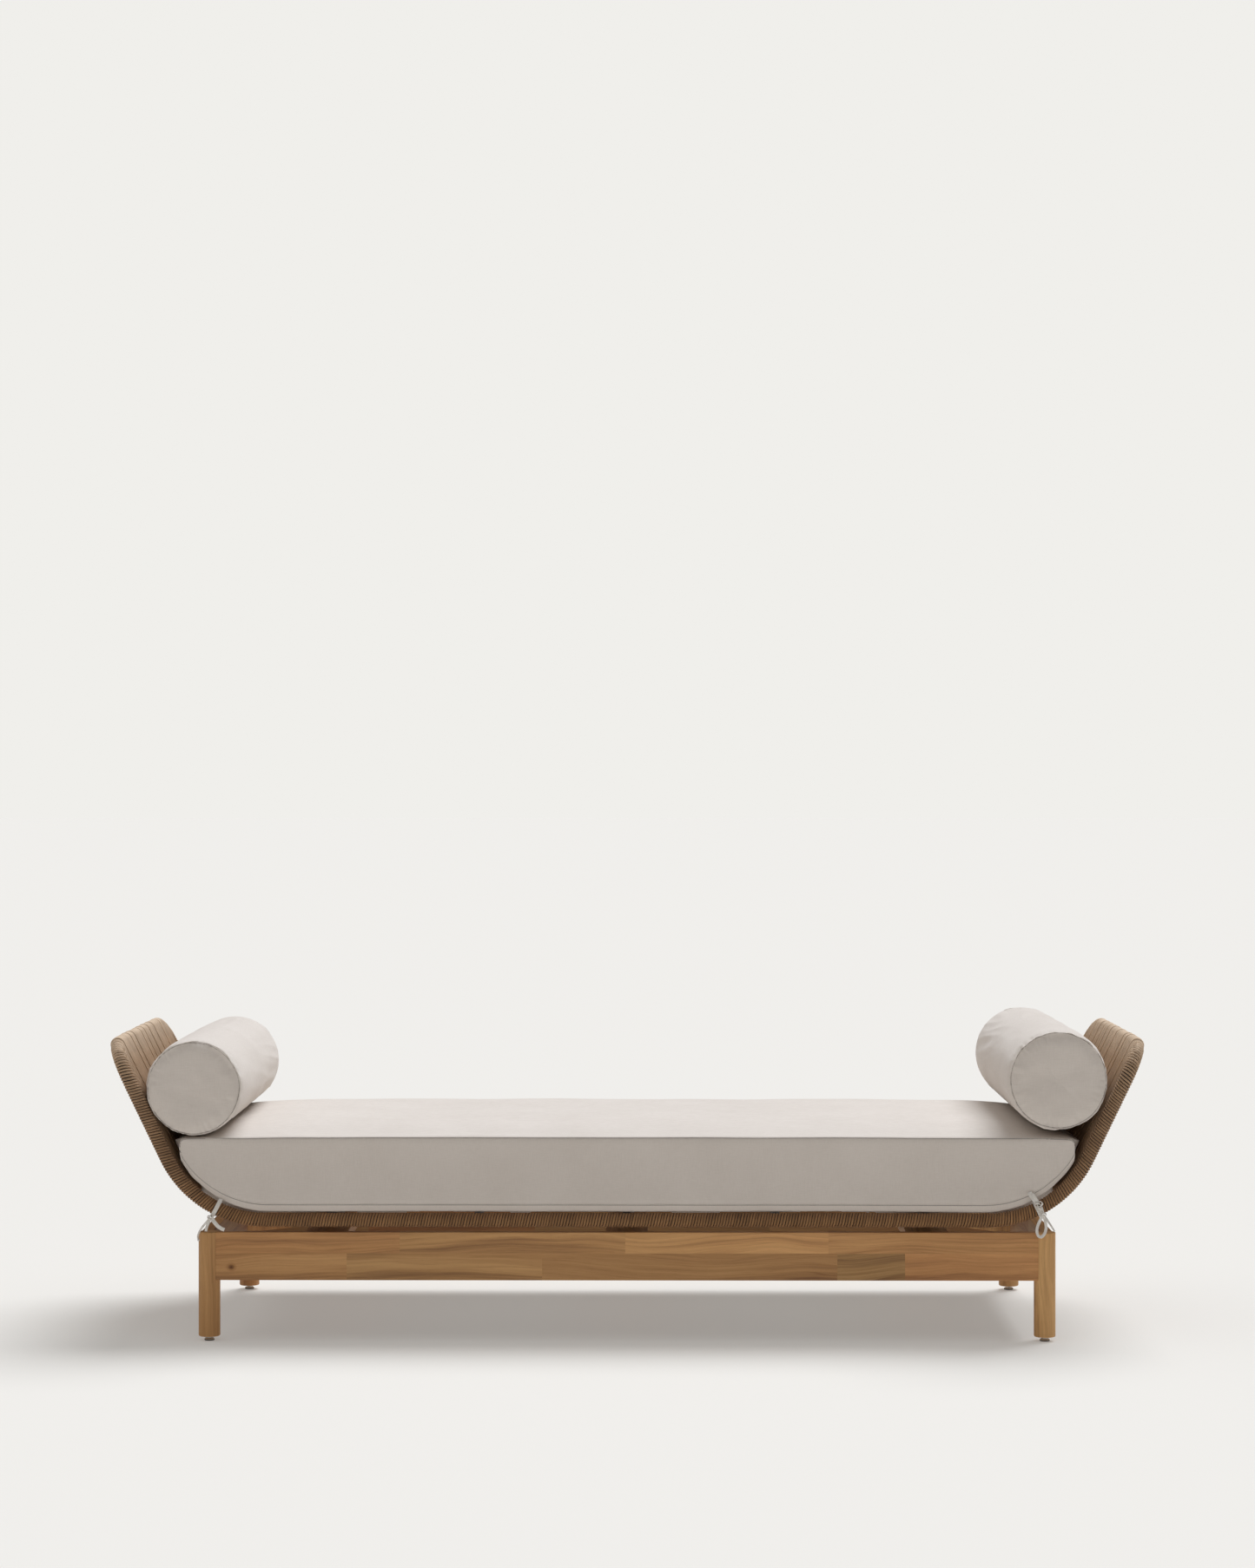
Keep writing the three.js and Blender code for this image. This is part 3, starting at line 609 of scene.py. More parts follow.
FRONT_JOINTS = ((-0.483, -0.003, 0.429), (-0.596, -0.180, 0.448, 0.592))
FRONT_TONES = ((0.56, 0.60, 0.78, 0.62), (0.50, 0.46, 0.40, 0.36, 0.58))
REAR_JOINTS = ((-0.52, 0.10, 0.47), (-0.33, 0.22, 0.61))
REAR_TONES = ((0.46, 0.62, 0.40, 0.55), (0.58, 0.42, 0.50, 0.38))
END_JOINTS = ((-0.12,), (0.16,))
END_TONES = ((0.55, 0.42), (0.46, 0.60))

apron("apron_front", LEG_X, (0, -LEG_Y), 0, FRONT_JOINTS, FRONT_TONES, FRONT_WOOD, 3)
apron("apron_rear", LEG_X, (0, LEG_Y), 180, REAR_JOINTS, REAR_TONES, WOOD, 4)
apron("apron_left", LEG_Y, (-LEG_X, 0), -90, END_JOINTS, END_TONES, WOOD, 5)
apron("apron_right", LEG_Y, (LEG_X, 0), 90, END_JOINTS, END_TONES, WOOD, 6)
LEG_TONES = {("front", "left"): 0.56, ("front", "right"): 0.80,
             ("rear", "left"): 0.50, ("rear", "right"): 0.55}
for number, corner in enumerate(CORNERS):
    leg(*corner, LEG_TONES[corner], 20 + number)


def paint(names, material):
    """Gives CAD nodes that keep their own shape a finished material."""
    for name in names:
        slots = NODES[name].data.materials
        slots.clear()
        slots.append(material)


paint([f"cross_rail_{place}" for place in ("left", "middle", "right")],
      wood_material("acacia_across", "Y"))
paint([f"corner_block_{face}_{side}" for face, side in CORNERS], wood_material("acacia_block", "Z"))


# ---- Rope --------------------------------------------------------------------

def rail_line(step=0.004):
    """Centre line of the front rail from the left corner to the right corner, finely stepped,
    with the direction that faces away from the bed's inside (out) at each point."""
    half = []
    flat = np.arange(0, BEND_X, step)
    half += [((x, -RAIL_Y, RAIL_Z), (0, -1, 0)) for x in flat]
    for a in np.linspace(0, SLOPE, int(SLOPE * BEND_RADIUS / step)):
        half.append(((BEND_X + BEND_RADIUS * math.sin(a), -RAIL_Y,
                      RAIL_Z + BEND_RADIUS * (1 - math.cos(a))), (0, -1, 0)))
    rise = SLOPE_LENGTH - CORNER_RADIUS
    up = np.array([math.cos(SLOPE), 0, math.sin(SLOPE)])
    foot = np.array([FOOT.x, -RAIL_Y, FOOT.z])
    for s in np.arange(step, rise, step):
        half.append((foot + up * s, (0, -1, 0)))
    for a in np.linspace(0, math.radians(62), int(math.radians(62) * CORNER_RADIUS / step)):
        out = np.array([0, -math.cos(a), 0]) + up * math.sin(a)
        spot = (foot + up * (rise + CORNER_RADIUS * math.sin(a))
                + np.array([0, CORNER_RADIUS * (1 - math.cos(a)), 0]))
        half.append((spot, out))
    points = np.array([p for p, _ in half], float)
    outs = np.array([o for _, o in half], float)
    mirror = np.array([-1, 1, 1])
    return (np.concatenate([(points * mirror)[:0:-1], points]),
            np.concatenate([(outs * mirror)[:0:-1], outs]))


def rope_uv(mesh, rings, around, lengths):
    """UVs in metres along each cord, from a start of its own, and turns round it."""
    layer = mesh.uv_layers.new(name="UVMap")
    values = np.zeros((len(mesh.loops), 2), np.float32)
    vertex_of = np.zeros(len(mesh.loops), np.int32)
    mesh.loops.foreach_get("vertex_index", vertex_of)
    ring = vertex_of // around % rings
    cord = vertex_of // (around * rings)
    values[:, 0] = lengths[ring] + cord * 0.0037
    values[:, 1] = (vertex_of % around) / around
    layer.data.foreach_set("uv", values.ravel())


def store_tone(mesh, tones):
    layer = mesh.attributes.new("tone", "FLOAT", "POINT")
    layer.data.foreach_set("value", np.asarray(tones, np.float32))


CORD_DIAMETER = 0.0050
CORD_PITCH = 0.00605
CORDS = 3
CORD_SIDES = 8
RINGS_A_TURN = 20


def rail_wrap(face):
    """The cords wound round a side rail: CORDS of them side by side, each a long helix."""
    points, outs = rail_line()
    distance = along(points)
    turns = distance[-1] / (CORD_PITCH * CORDS)
    count = int(turns * RINGS_A_TURN)
    radius = WRAP_RADIUS - CORD_DIAMETER / 2
    section = round_section(CORD_DIAMETER / 2, CORD_SIDES)
    vertices, faces, tones = [], [], []
    generator = np.random.default_rng(11 if face == "front" else 12)
    line_tangent = tangents(points)
    for start in range(CORDS):
        phase = np.linspace(0, turns * 2 * math.pi, count) + start * math.pi * 2 / CORDS
        place = np.linspace(0, distance[-1], count)
        wobble = np.interp(place, distance, noise_track(distance, 0.03, 5)) * 0.0009
        place = np.clip(place + wobble, 0, distance[-1])
        centre = read_off(place, distance, points)
        out = unit(read_off(place, distance, outs))
        axis = unit(read_off(place, distance, line_tangent))
        up = np.cross(out, axis)
        swell = 1 + 0.012 * np.interp(place, distance, noise_track(distance, 0.012, start + 9))
        away = out * np.cos(phase)[:, None] + up * np.sin(phase)[:, None]
        turns_path = centre + away * (radius * swell)[:, None]
        side = unit(np.cross(tangents(turns_path), away))
        first = sum(len(v) for v in vertices)
        vertices.append(swept_rings(turns_path, side, away, section))
        faces += ring_faces(count, CORD_SIDES, first)
        lengths = along(turns_path)
        shade = 0.5 + 0.30 * noise_track(lengths, 0.25, 31 + start)
        by_turn = generator.normal(0, 0.14, count // RINGS_A_TURN + 1)
        shade = shade + np.repeat(by_turn, RINGS_A_TURN)[:count]
        tones.append(np.repeat(shade, CORD_SIDES))
    vertices = np.concatenate(vertices)
    if face == "rear":
        vertices = vertices * np.array([-1, -1, 1])
    piece = make_object(f"rope_turns_{face}", vertices, faces, ROPE, BODY)
    rope_uv(piece.data, count, CORD_SIDES, lengths)
    store_tone(piece.data, np.concatenate(tones))
    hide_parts(f"rope_wrap_{face}")


def noise_track(distances, scale, seed):
    """Smooth noise from -1 to 1 along a line, changing over about scale metres."""
    return np.array([noise.noise(Vector((d / scale, seed * 17.3, 0.5))) for d in distances]) * 1.6


STRAND_DIAMETER = 0.0049


def strand_layout(seed):
    """Places across the panel of its strands, in bands with a dark gap after each, with how far
    each stands proud and its tone. The strand past a gap stands proudest and is given a painted
    highlight."""
    generator = np.random.default_rng(seed)
    reach = RAIL_Y - 0.006
    strands = []
    y = -reach
    left_in_band = generator.integers(6, 12)
    after_gap = False
    while y < reach:
        proud = generator.uniform(0, 0.0002) + (generator.uniform(0.0007, 0.0013) if after_gap else 0)
        # painted highlight: the strand past a gap gets a lighter tone
        strands.append((y, proud, generator.uniform(0.25, 0.75) + (0.25 if after_gap else 0)))
        y += ROPE_DIAMETER * generator.uniform(0.98, 1.02)
        left_in_band -= 1
        after_gap = left_in_band == 0
        if after_gap:
            y += generator.uniform(0.0042, 0.0075)
            left_in_band = generator.integers(6, 19)
    return strands


def strand_loop(y, proud, seed):
    """One strand's closed loop in its end's own plane, from the slope's foot: (across, towards
    the bed, up the slope) points over the top bar, down the slope and round the bend."""
    off = TUBE_RADIUS + STRAND_DIAMETER / 2 + 0.0004 + proud
    straight = RAIL_Y - CORNER_RADIUS
    beyond = max(abs(y) - straight, 0)
    lean = math.asin(min(beyond / CORNER_RADIUS, 0.93))
    top = SLOPE_LENGTH - CORNER_RADIUS * (1 - math.cos(lean))
    stretch = 1 / max(math.cos(lean), 0.62)
    foot_y = y * (RAIL_Y - WRAP_RADIUS - 0.004) / (RAIL_Y - 0.006)
    turn = SLOPE - FOOT_ANGLE
    bend_middle = np.array([BEND_RADIUS, 0.0])
    rows = []

    def place(share, n, z):
        wave = noise.noise(Vector((z / 0.11, seed * 3.1, n * 40))) * 0.0005
        rows.append((foot_y + (y - foot_y) * share + wave, n, z))

    def round_bend(angle, side_off):
        reach = BEND_RADIUS - side_off
        place(0.0, bend_middle[0] - reach * math.cos(angle), -reach * math.sin(angle))

    for a in np.linspace(0, math.pi, 11):
        place(1.0, off * math.cos(a), top + off * stretch * math.sin(a))
    for z in np.linspace(top, 0.0, 9)[1:-1]:
        place(z / top, -off, z)
    for angle in np.linspace(0, turn, 5):
        round_bend(angle, -off)
    foot_n = BEND_RADIUS * (1 - math.cos(turn))
    foot_z = -BEND_RADIUS * math.sin(turn)
    for a in np.linspace(0, math.pi, 8)[1:-1]:
        swing = math.pi + turn + a
        place(0.0, foot_n + off * math.cos(swing), foot_z + off * math.sin(swing))
    for angle in np.linspace(turn, 0, 5):
        round_bend(angle, off)
    for z in np.linspace(0.0, top, 9)[1:-1]:
        place(z / top, off, z)
    return np.array(rows)


def rope_panel(side):
    """The strands of one raised end: each goes over the top bar, down both faces of the slope
    and round the foot tube."""
    strands = strand_layout(41 if side == "left" else 43)
    sides = 8
    section = round_section(STRAND_DIAMETER / 2, sides)
    up = np.array([SIGN[side] * math.cos(SLOPE), 0, math.sin(SLOPE)])
    inward = np.array([-SIGN[side] * math.sin(SLOPE), 0, math.cos(SLOPE)])
    foot = np.array([SIGN[side] * FOOT.x, 0, FOOT.z])
    across = np.array([0, 1.0, 0])
    vertices, faces, tones = [], [], []
    rings = 0
    for number, (y, proud, tone) in enumerate(strands):
        rows = strand_loop(y, proud, number)
        cord = foot + rows[:, :1] * across + rows[:, 1:2] * inward + rows[:, 2:] * up
        forward = tangents(cord, closed=True)
        normal = unit(np.cross(forward, across))
        rings = len(cord)
        faces += ring_faces(rings, sides, number * rings * sides, closed=True)
        vertices.append(swept_rings(cord, np.cross(normal, forward), normal, section))
        tones += [tone] * (rings * sides)
    piece = make_object(f"rope_strands_{side}", np.concatenate(vertices), faces, ROPE, BODY)
    rope_uv(piece.data, rings, sides, np.linspace(0, 2 * SLOPE_LENGTH, rings))
    store_tone(piece.data, tones)
    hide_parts(f"rope_panel_{side}")


for face in ("front", "rear"):
    rail_wrap(face)
for side in ("left", "right"):
    rope_panel(side)


# ---- Cushions ----------------------------------------------------------------

MATTRESS_BOTTOM = low("mattress").z
MATTRESS_HALF_WIDTH = high("mattress").y
COVER_INSET = 0.0030  # left for the cover to fill out by
END_CURVE_X = 0.764
END_CURVE_RADIUS = 0.2168
NOSE_X = 0.9535
NOSE_STATIONS = 24
NOSE_RADIUS = 0.011
SEAM_Z = 0.4366
SEAM_DROP = 0.0050
FLAT_STATIONS = 50
BOTTOM_EDGE = 0.0050
SEAM_RISE = 0.016
CROWN = 0.0310
ALONG_POWER = 14  # the higher, the flatter the crown's middle, along and across the bed
ACROSS_POWER = 4.5
ACROSS = 48
ROWS = 9
TOP, TOP_SEAM, SIDE, BOTTOM_SEAM, EDGE, UNDERSIDE = range(6)
BOLSTER_SIDES = 84
BOLSTER_ROWS = 86
BOLSTER_EDGE = 0.0040
PLUMPER = {"left": 0.0012, "right": -0.0008}  # than the CAD bolster's radius


def mattress_low(x):
    """The underside's height at x: flat, then round up both ends."""
    beyond = max(abs(x) - END_CURVE_X, 0)
    return MATTRESS_BOTTOM + END_CURVE_RADIUS - math.sqrt(END_CURVE_RADIUS ** 2 - beyond ** 2)


def mattress_high(x):
    """The top seam's height at x: level, dropping to each nose."""
    share = abs(x) / NOSE_X
    tip = max(abs(x) - NOSE_X + NOSE_RADIUS, 0)
    rounding = NOSE_RADIUS - math.sqrt(NOSE_RADIUS ** 2 - 0.98 * tip ** 2)
    return SEAM_Z - SEAM_DROP * share ** 7 - rounding


def mattress_stations():
    flat = np.linspace(0, END_CURVE_X, FLAT_STATIONS)[:-1]
    share = 1 - np.linspace(1, 0, NOSE_STATIONS) ** 1.7
    turn = share * math.asin((NOSE_X - END_CURVE_X) / END_CURVE_RADIUS)
    half = np.concatenate([flat, END_CURVE_X + END_CURVE_RADIUS * np.sin(turn)])
    return np.concatenate([-half[:0:-1], half])


def mattress_section(x):
    """The closed outline across the bed at x, from the front end of the top, with each point's
    part."""
    bottom, top = mattress_low(x), mattress_high(x)
    tall = top - bottom
    half = MATTRESS_HALF_WIDTH - COVER_INSET
    lip = min(BOTTOM_EDGE, 0.30 * tall)
    seam_rise = min(SEAM_RISE, 0.55 * tall)
    points, parts = [], []
    crown = CROWN * (1 - (abs(x) / NOSE_X) ** ALONG_POWER)
    for y in np.linspace(-half, half, ACROSS + 1):
        points.append((y, top + crown * (1 - (abs(y) / half) ** ACROSS_POWER)))
        parts.append(TOP_SEAM if abs(y) > half - 1e-6 else TOP)
    side = [(half, top + (bottom + seam_rise - top) * k / (ROWS - 1)) for k in range(1, ROWS)]
    side.append((half, bottom + lip))
    side_parts = [SIDE] * (ROWS - 2) + [BOTTOM_SEAM, EDGE]
    turn = [(half - lip + lip * math.cos(a), bottom + lip - lip * math.sin(a))
            for a in np.radians((30, 60, 90))]
    points += side + turn
    parts += side_parts + [EDGE, EDGE, UNDERSIDE]
    inner = np.linspace(half - lip, -half + lip, ACROSS - 1)[1:-1]
    points += [(y, bottom) for y in inner]
    parts += [UNDERSIDE] * len(inner)
    points += [(-y, z) for y, z in reversed(side + turn)]
    parts += [UNDERSIDE, EDGE, EDGE] + list(reversed(side_parts))
    return points, parts


def nose_faces(first, around):
    """Faces closing a section's end: quads from its top to its bottom, and a corner each side."""
    side = ROWS + 3
    last = ACROSS + side
    faces = [tuple(first + k for k in range(ACROSS - 1, last + 1)),
             tuple(first + k for k in (0, 1, *range(around - side, around)))]
    for k in range(1, ACROSS - 1):
        under = last + ACROSS - 1 - k
        faces.append(tuple(first + v for v in (k, k + 1, under - 1, under)))
    return faces


def smooth_step(value):
    value = np.clip(value, 0, 1)
    return value * value * (3 - 2 * value)


def soften(moves, cap):
    """Limits how far each point moves, easing into the limit."""
    length = np.linalg.norm(moves, axis=1, keepdims=True) + 1e-12
    cap = np.asarray(cap).reshape(-1, 1)
    return moves / length * cap * np.tanh(length / cap)


def coordinates(mesh):
    values = np.empty(len(mesh.vertices) * 3, np.float32)
    mesh.vertices.foreach_get("co", values)
    return values.reshape(-1, 3).astype(float)


def set_coordinates(mesh, values):
    mesh.vertices.foreach_set("co", np.asarray(values, np.float32).ravel())
    mesh.update()


def normals(mesh):
    values = np.empty(len(mesh.vertices) * 3, np.float32)
    mesh.vertex_normals.foreach_get("vector", values)
    return values.reshape(-1, 3).astype(float)


def inflate(piece, held, cap, pressure, slack, frames=20):
    """Fills a cover by cloth simulation: held points stay, the others move by up to cap."""
    scene = bpy.context.scene
    group = piece.vertex_groups.new(name="held")
    group.add([int(k) for k in held], 1.0, "REPLACE")
    cloth = piece.modifiers.new("fill", "CLOTH")
    cloth.settings.vertex_group_mass = "held"
    cloth.settings.quality = 5
    cloth.settings.mass = 0.3
    cloth.settings.tension_stiffness = 25
    cloth.settings.compression_stiffness = 25
    cloth.settings.bending_stiffness = 0.8
    cloth.settings.air_damping = 4
    cloth.settings.use_pressure = True
    cloth.settings.uniform_pressure_force = pressure
    cloth.settings.shrink_min = -slack
    cloth.settings.effector_weights.gravity = 0
    cloth.collision_settings.use_collision = False
    for frame_number in range(1, frames + 1):
        scene.frame_set(frame_number)
    bpy.context.view_layer.update()
    filled = piece.evaluated_get(bpy.context.evaluated_depsgraph_get())
    after = coordinates(filled.to_mesh())
    filled.to_mesh_clear()
    before = coordinates(piece.data)
    piece.modifiers.remove(cloth)
    piece.vertex_groups.remove(group)
    set_coordinates(piece.data, before + soften(after - before, cap))
    scene.frame_set(1)


def subdivide(piece):
    """One subdivision, made part of the mesh."""
    piece.modifiers.new("smooth", "SUBSURF").levels = 1
    bpy.context.view_layer.update()
    finer = bpy.data.meshes.new_from_object(piece.evaluated_get(
        bpy.context.evaluated_depsgraph_get()))
    name = piece.data.name
    piece.modifiers.clear()
    piece.data = finer
    finer.name = name
    finer.polygons.foreach_set("use_smooth", [True] * len(finer.polygons))


def rumple(mesh, amount):
    """Moves points along their normals by amount(place), an array for the places given."""
    places = coordinates(mesh)
    set_coordinates(mesh, places + normals(mesh) * amount(places)[:, None])


def field(places, scale, seed, octaves=1):
    """Smooth noise at each place; scale is a length for each axis."""
    total = np.zeros(len(places))
    for octave in range(octaves):
        spots = places / np.asarray(scale) * 2 ** octave + seed * 7.31
        total += np.array([noise.noise(Vector(spot)) for spot in spots]) / 2 ** octave
    return total


def seam(name, mesh, path, body, material=SEAM_CREASE_SHADE, radius=0.0011, lift=0.0, shift=(0, 0, 0)):
    """A sewn seam: a fine roll lying along a closed path on the finished cover, by default dark as
    painted crease shade.
    """
    tree = BVHTree.FromPolygons([v.co for v in mesh.vertices],
                                [tuple(p.vertices) for p in mesh.polygons])
    places, away = [], []
    for point in path:
        hit, normal, _, _ = tree.find_nearest(Vector(point) + Vector(shift))
        places.append(hit + normal * lift)
        away.append(normal)
    places, away = np.array(places), np.array(away)
    for _ in range(2):
        places = (np.roll(places, 1, 0) + 2 * places + np.roll(places, -1, 0)) / 4
    forward = tangents(places, closed=True)
    away = unit(away - forward * (away * forward).sum(1, keepdims=True))
    sides = 6
    rings = swept_rings(places, np.cross(forward, away), away, round_section(radius, sides, 0.8))
    make_object(name, rings, ring_faces(len(places), sides, closed=True), material, body)


def resample(path, step):
    """Points about step apart round a closed path."""
    path = np.concatenate([path, path[:1]])
    distance = along(path)
    count = max(int(distance[-1] / step), 8)
    return read_off(np.linspace(0, distance[-1], count + 1)[:-1], distance, path)


def bolster_axis(side):
    """Middle of the bolster's centre line."""
    return middle(f"bolster_{side}")


def bolster_radius(side):
    return (high(f"bolster_{side}").z - low(f"bolster_{side}").z) / 2


def make_mattress():
    stations = mattress_stations()
    vertices, parts, xs = [], [], []
    for x in stations:
        points, kinds = mattress_section(x)
        vertices += [(x, y, z) for y, z in points]
        parts += kinds
        xs += [x] * len(points)
    around = len(points)
    count = len(stations)
    faces = ring_faces(count, around)[:-2]
    faces += [tuple(reversed(face)) for face in nose_faces(0, around)]
    faces += nose_faces((count - 1) * around, around)
    mesh_parts = np.array(parts)
    xs = np.array(xs)
    places = np.array(vertices)
    # the sewn top edge wanders a little
    wander = np.array([noise.noise(Vector((x / 0.16, 3.7, 0))) for x in xs]) * 0.0016
    top, under = mesh_parts == TOP, mesh_parts == UNDERSIDE
    places[mesh_parts == TOP_SEAM, 2] += wander[mesh_parts == TOP_SEAM]
    piece = make_object("mattress_cover", places, faces, FABRIC, BODY)
    # how far each part may fill out: least over the rails, and little where the zip is
    cap = np.full(len(places), 0.006)
    near_end = np.clip((np.abs(xs) - 0.80) / 0.16, 0, 1)
    cap[top] = 0.0055 * (1 - 0.85 * near_end ** 2)[top]
    cap[under] = 0.0045
    cap[under & (np.abs(places[:, 1]) > RAIL_Y - WRAP_RADIUS - 0.004)] = 0.0006
    cap[(places[:, 1] > 0) & (mesh_parts == SIDE)] = 0.0028
    held = np.nonzero((mesh_parts == TOP_SEAM) | (mesh_parts == BOTTOM_SEAM))[0]
    inflate(piece, held, cap, 3.0, 0.0)
    subdivide(piece)
    mesh = piece.data

    def creases(at):
        top = smooth_step((at[:, 2] - SEAM_Z + 0.004) / 0.012)
        end = smooth_step((np.abs(at[:, 0]) - 0.62) / 0.2)
        slow = field(at, (0.22, 0.16, 0.16), 1.0) * 0.0022
        fine = field(at, (0.10, 0.035, 0.05), 2.0) * 0.0007
        low_part = smooth_step((0.335 + 0.08 * end - at[:, 2]) / 0.04) * (1 - top)
        pucker = np.abs(field(at, (0.020, 0.3, 0.07), 3.0)) * 0.0022 * low_part * (0.25 + 0.75 * end)
        side_soft = field(at, (0.30, 1.0, 0.09), 5.0) * 0.0014 * (1 - top)
        return slow * (0.35 + 0.65 * top) + fine + side_soft - pucker

    rumple(mesh, creases)
    subdivide(piece)
    mesh = piece.data
    nestle(mesh)
    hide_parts("mattress")
    for face in ("front", "rear"):
        here = np.sign(places[:, 1]) == SIGN[face]
        upper = places[here & (mesh_parts == TOP_SEAM)]
        lower = places[here & (mesh_parts == BOTTOM_SEAM)]
        loop = resample(np.concatenate([upper, lower[::-1]]), 0.006)
        # the seam roll is painted crease shade; the fold beside it is plain fabric
        seam(f"mattress_seam_{face}", mesh, loop, BODY)
        seam(f"mattress_fold_{face}", mesh, resample(loop, 0.006), BODY, FABRIC, radius=0.0013,
             lift=0.0002, shift=(0, 0, 0.0016))


def nestle(mesh):
    """Presses the mattress's top down under both bolsters, and keeps it off the tray."""
    places = coordinates(mesh)
    for side in ("left", "right"):
        centre, radius = bolster_axis(side), bolster_radius(side) + 0.0015
        dx = places[:, 0] - centre.x
        under = (np.abs(dx) < radius) & (places[:, 2] > 0.40) & (np.abs(places[:, 1]) < 0.368)
        ceiling = centre.z - np.sqrt(np.maximum(radius ** 2 - dx ** 2, 0))
        places[under, 2] = np.minimum(places[under, 2], ceiling[under])
    # it sags a little between the side rails, and rests on them without sinking in
    centre = np.array([BEND_X, RAIL_Z + BEND_RADIUS])
    surface = BEND_RADIUS - WRAP_RADIUS
    between = smooth_step((RAIL_Y - WRAP_RADIUS - 0.003 - np.abs(places[:, 1])) / 0.016)
    for sign in (-1, 1):
        flat = np.stack([places[:, 0] * sign - centre[0], places[:, 2] - centre[1]], 1)
        reach = np.linalg.norm(flat, axis=1)
        angle = np.degrees(np.arctan2(flat[:, 0], -flat[:, 1]))
        bend = (flat[:, 0] > 0) & (flat[:, 1] < 0) & (reach > surface - 0.030)
        # it sags most low on the bend, and not at all near the noses
        sag = 0.0045 + 0.0065 * smooth_step(angle / 10) - 0.0124 * smooth_step((angle - 37.5) / 3)
        sag = sag - 0.009 * smooth_step((angle - 46) / 10)
        wanted = np.minimum(reach, surface - 0.0003)
        wanted = np.where(between > 0, np.maximum(wanted, reach * (1 - between)
                          + (surface + sag) * between), wanted)
        wanted = np.where(angle > 40.5, np.minimum(wanted, surface - 0.0013), wanted)
        places[bend, 0] = sign * (centre[0] + flat[bend, 0] * (wanted / reach)[bend])
        places[bend, 2] = centre[1] + flat[bend, 1] * (wanted / reach)[bend]
    level = (np.abs(places[:, 0]) <= BEND_X) & (places[:, 2] < MATTRESS_BOTTOM + 0.004)
    floor = RAIL_Z + WRAP_RADIUS + 0.0002
    sunk = floor - 0.0045
    places[level, 2] = np.where(between > 0, places[:, 2] * (1 - between) + sunk * between,
                                np.maximum(places[:, 2], floor))[level]
    set_coordinates(mesh, places)


def beside_zip(places, side):
    """1 on a bolster's zip, fading to 0 away from it."""
    centre, strip = bolster_axis(side), middle(f"bolster_zip_{side}")
    line = np.array([strip.x - centre.x, strip.z - centre.z])
    flat = np.stack([places[:, 0] - centre.x, places[:, 2] - centre.z], 1)
    near = np.exp(-(np.linalg.norm(unit(flat + 1e-9) - unit(line), axis=1) / 0.32) ** 4)
    return near * smooth_step((0.315 - np.abs(places[:, 1])) / 0.03)


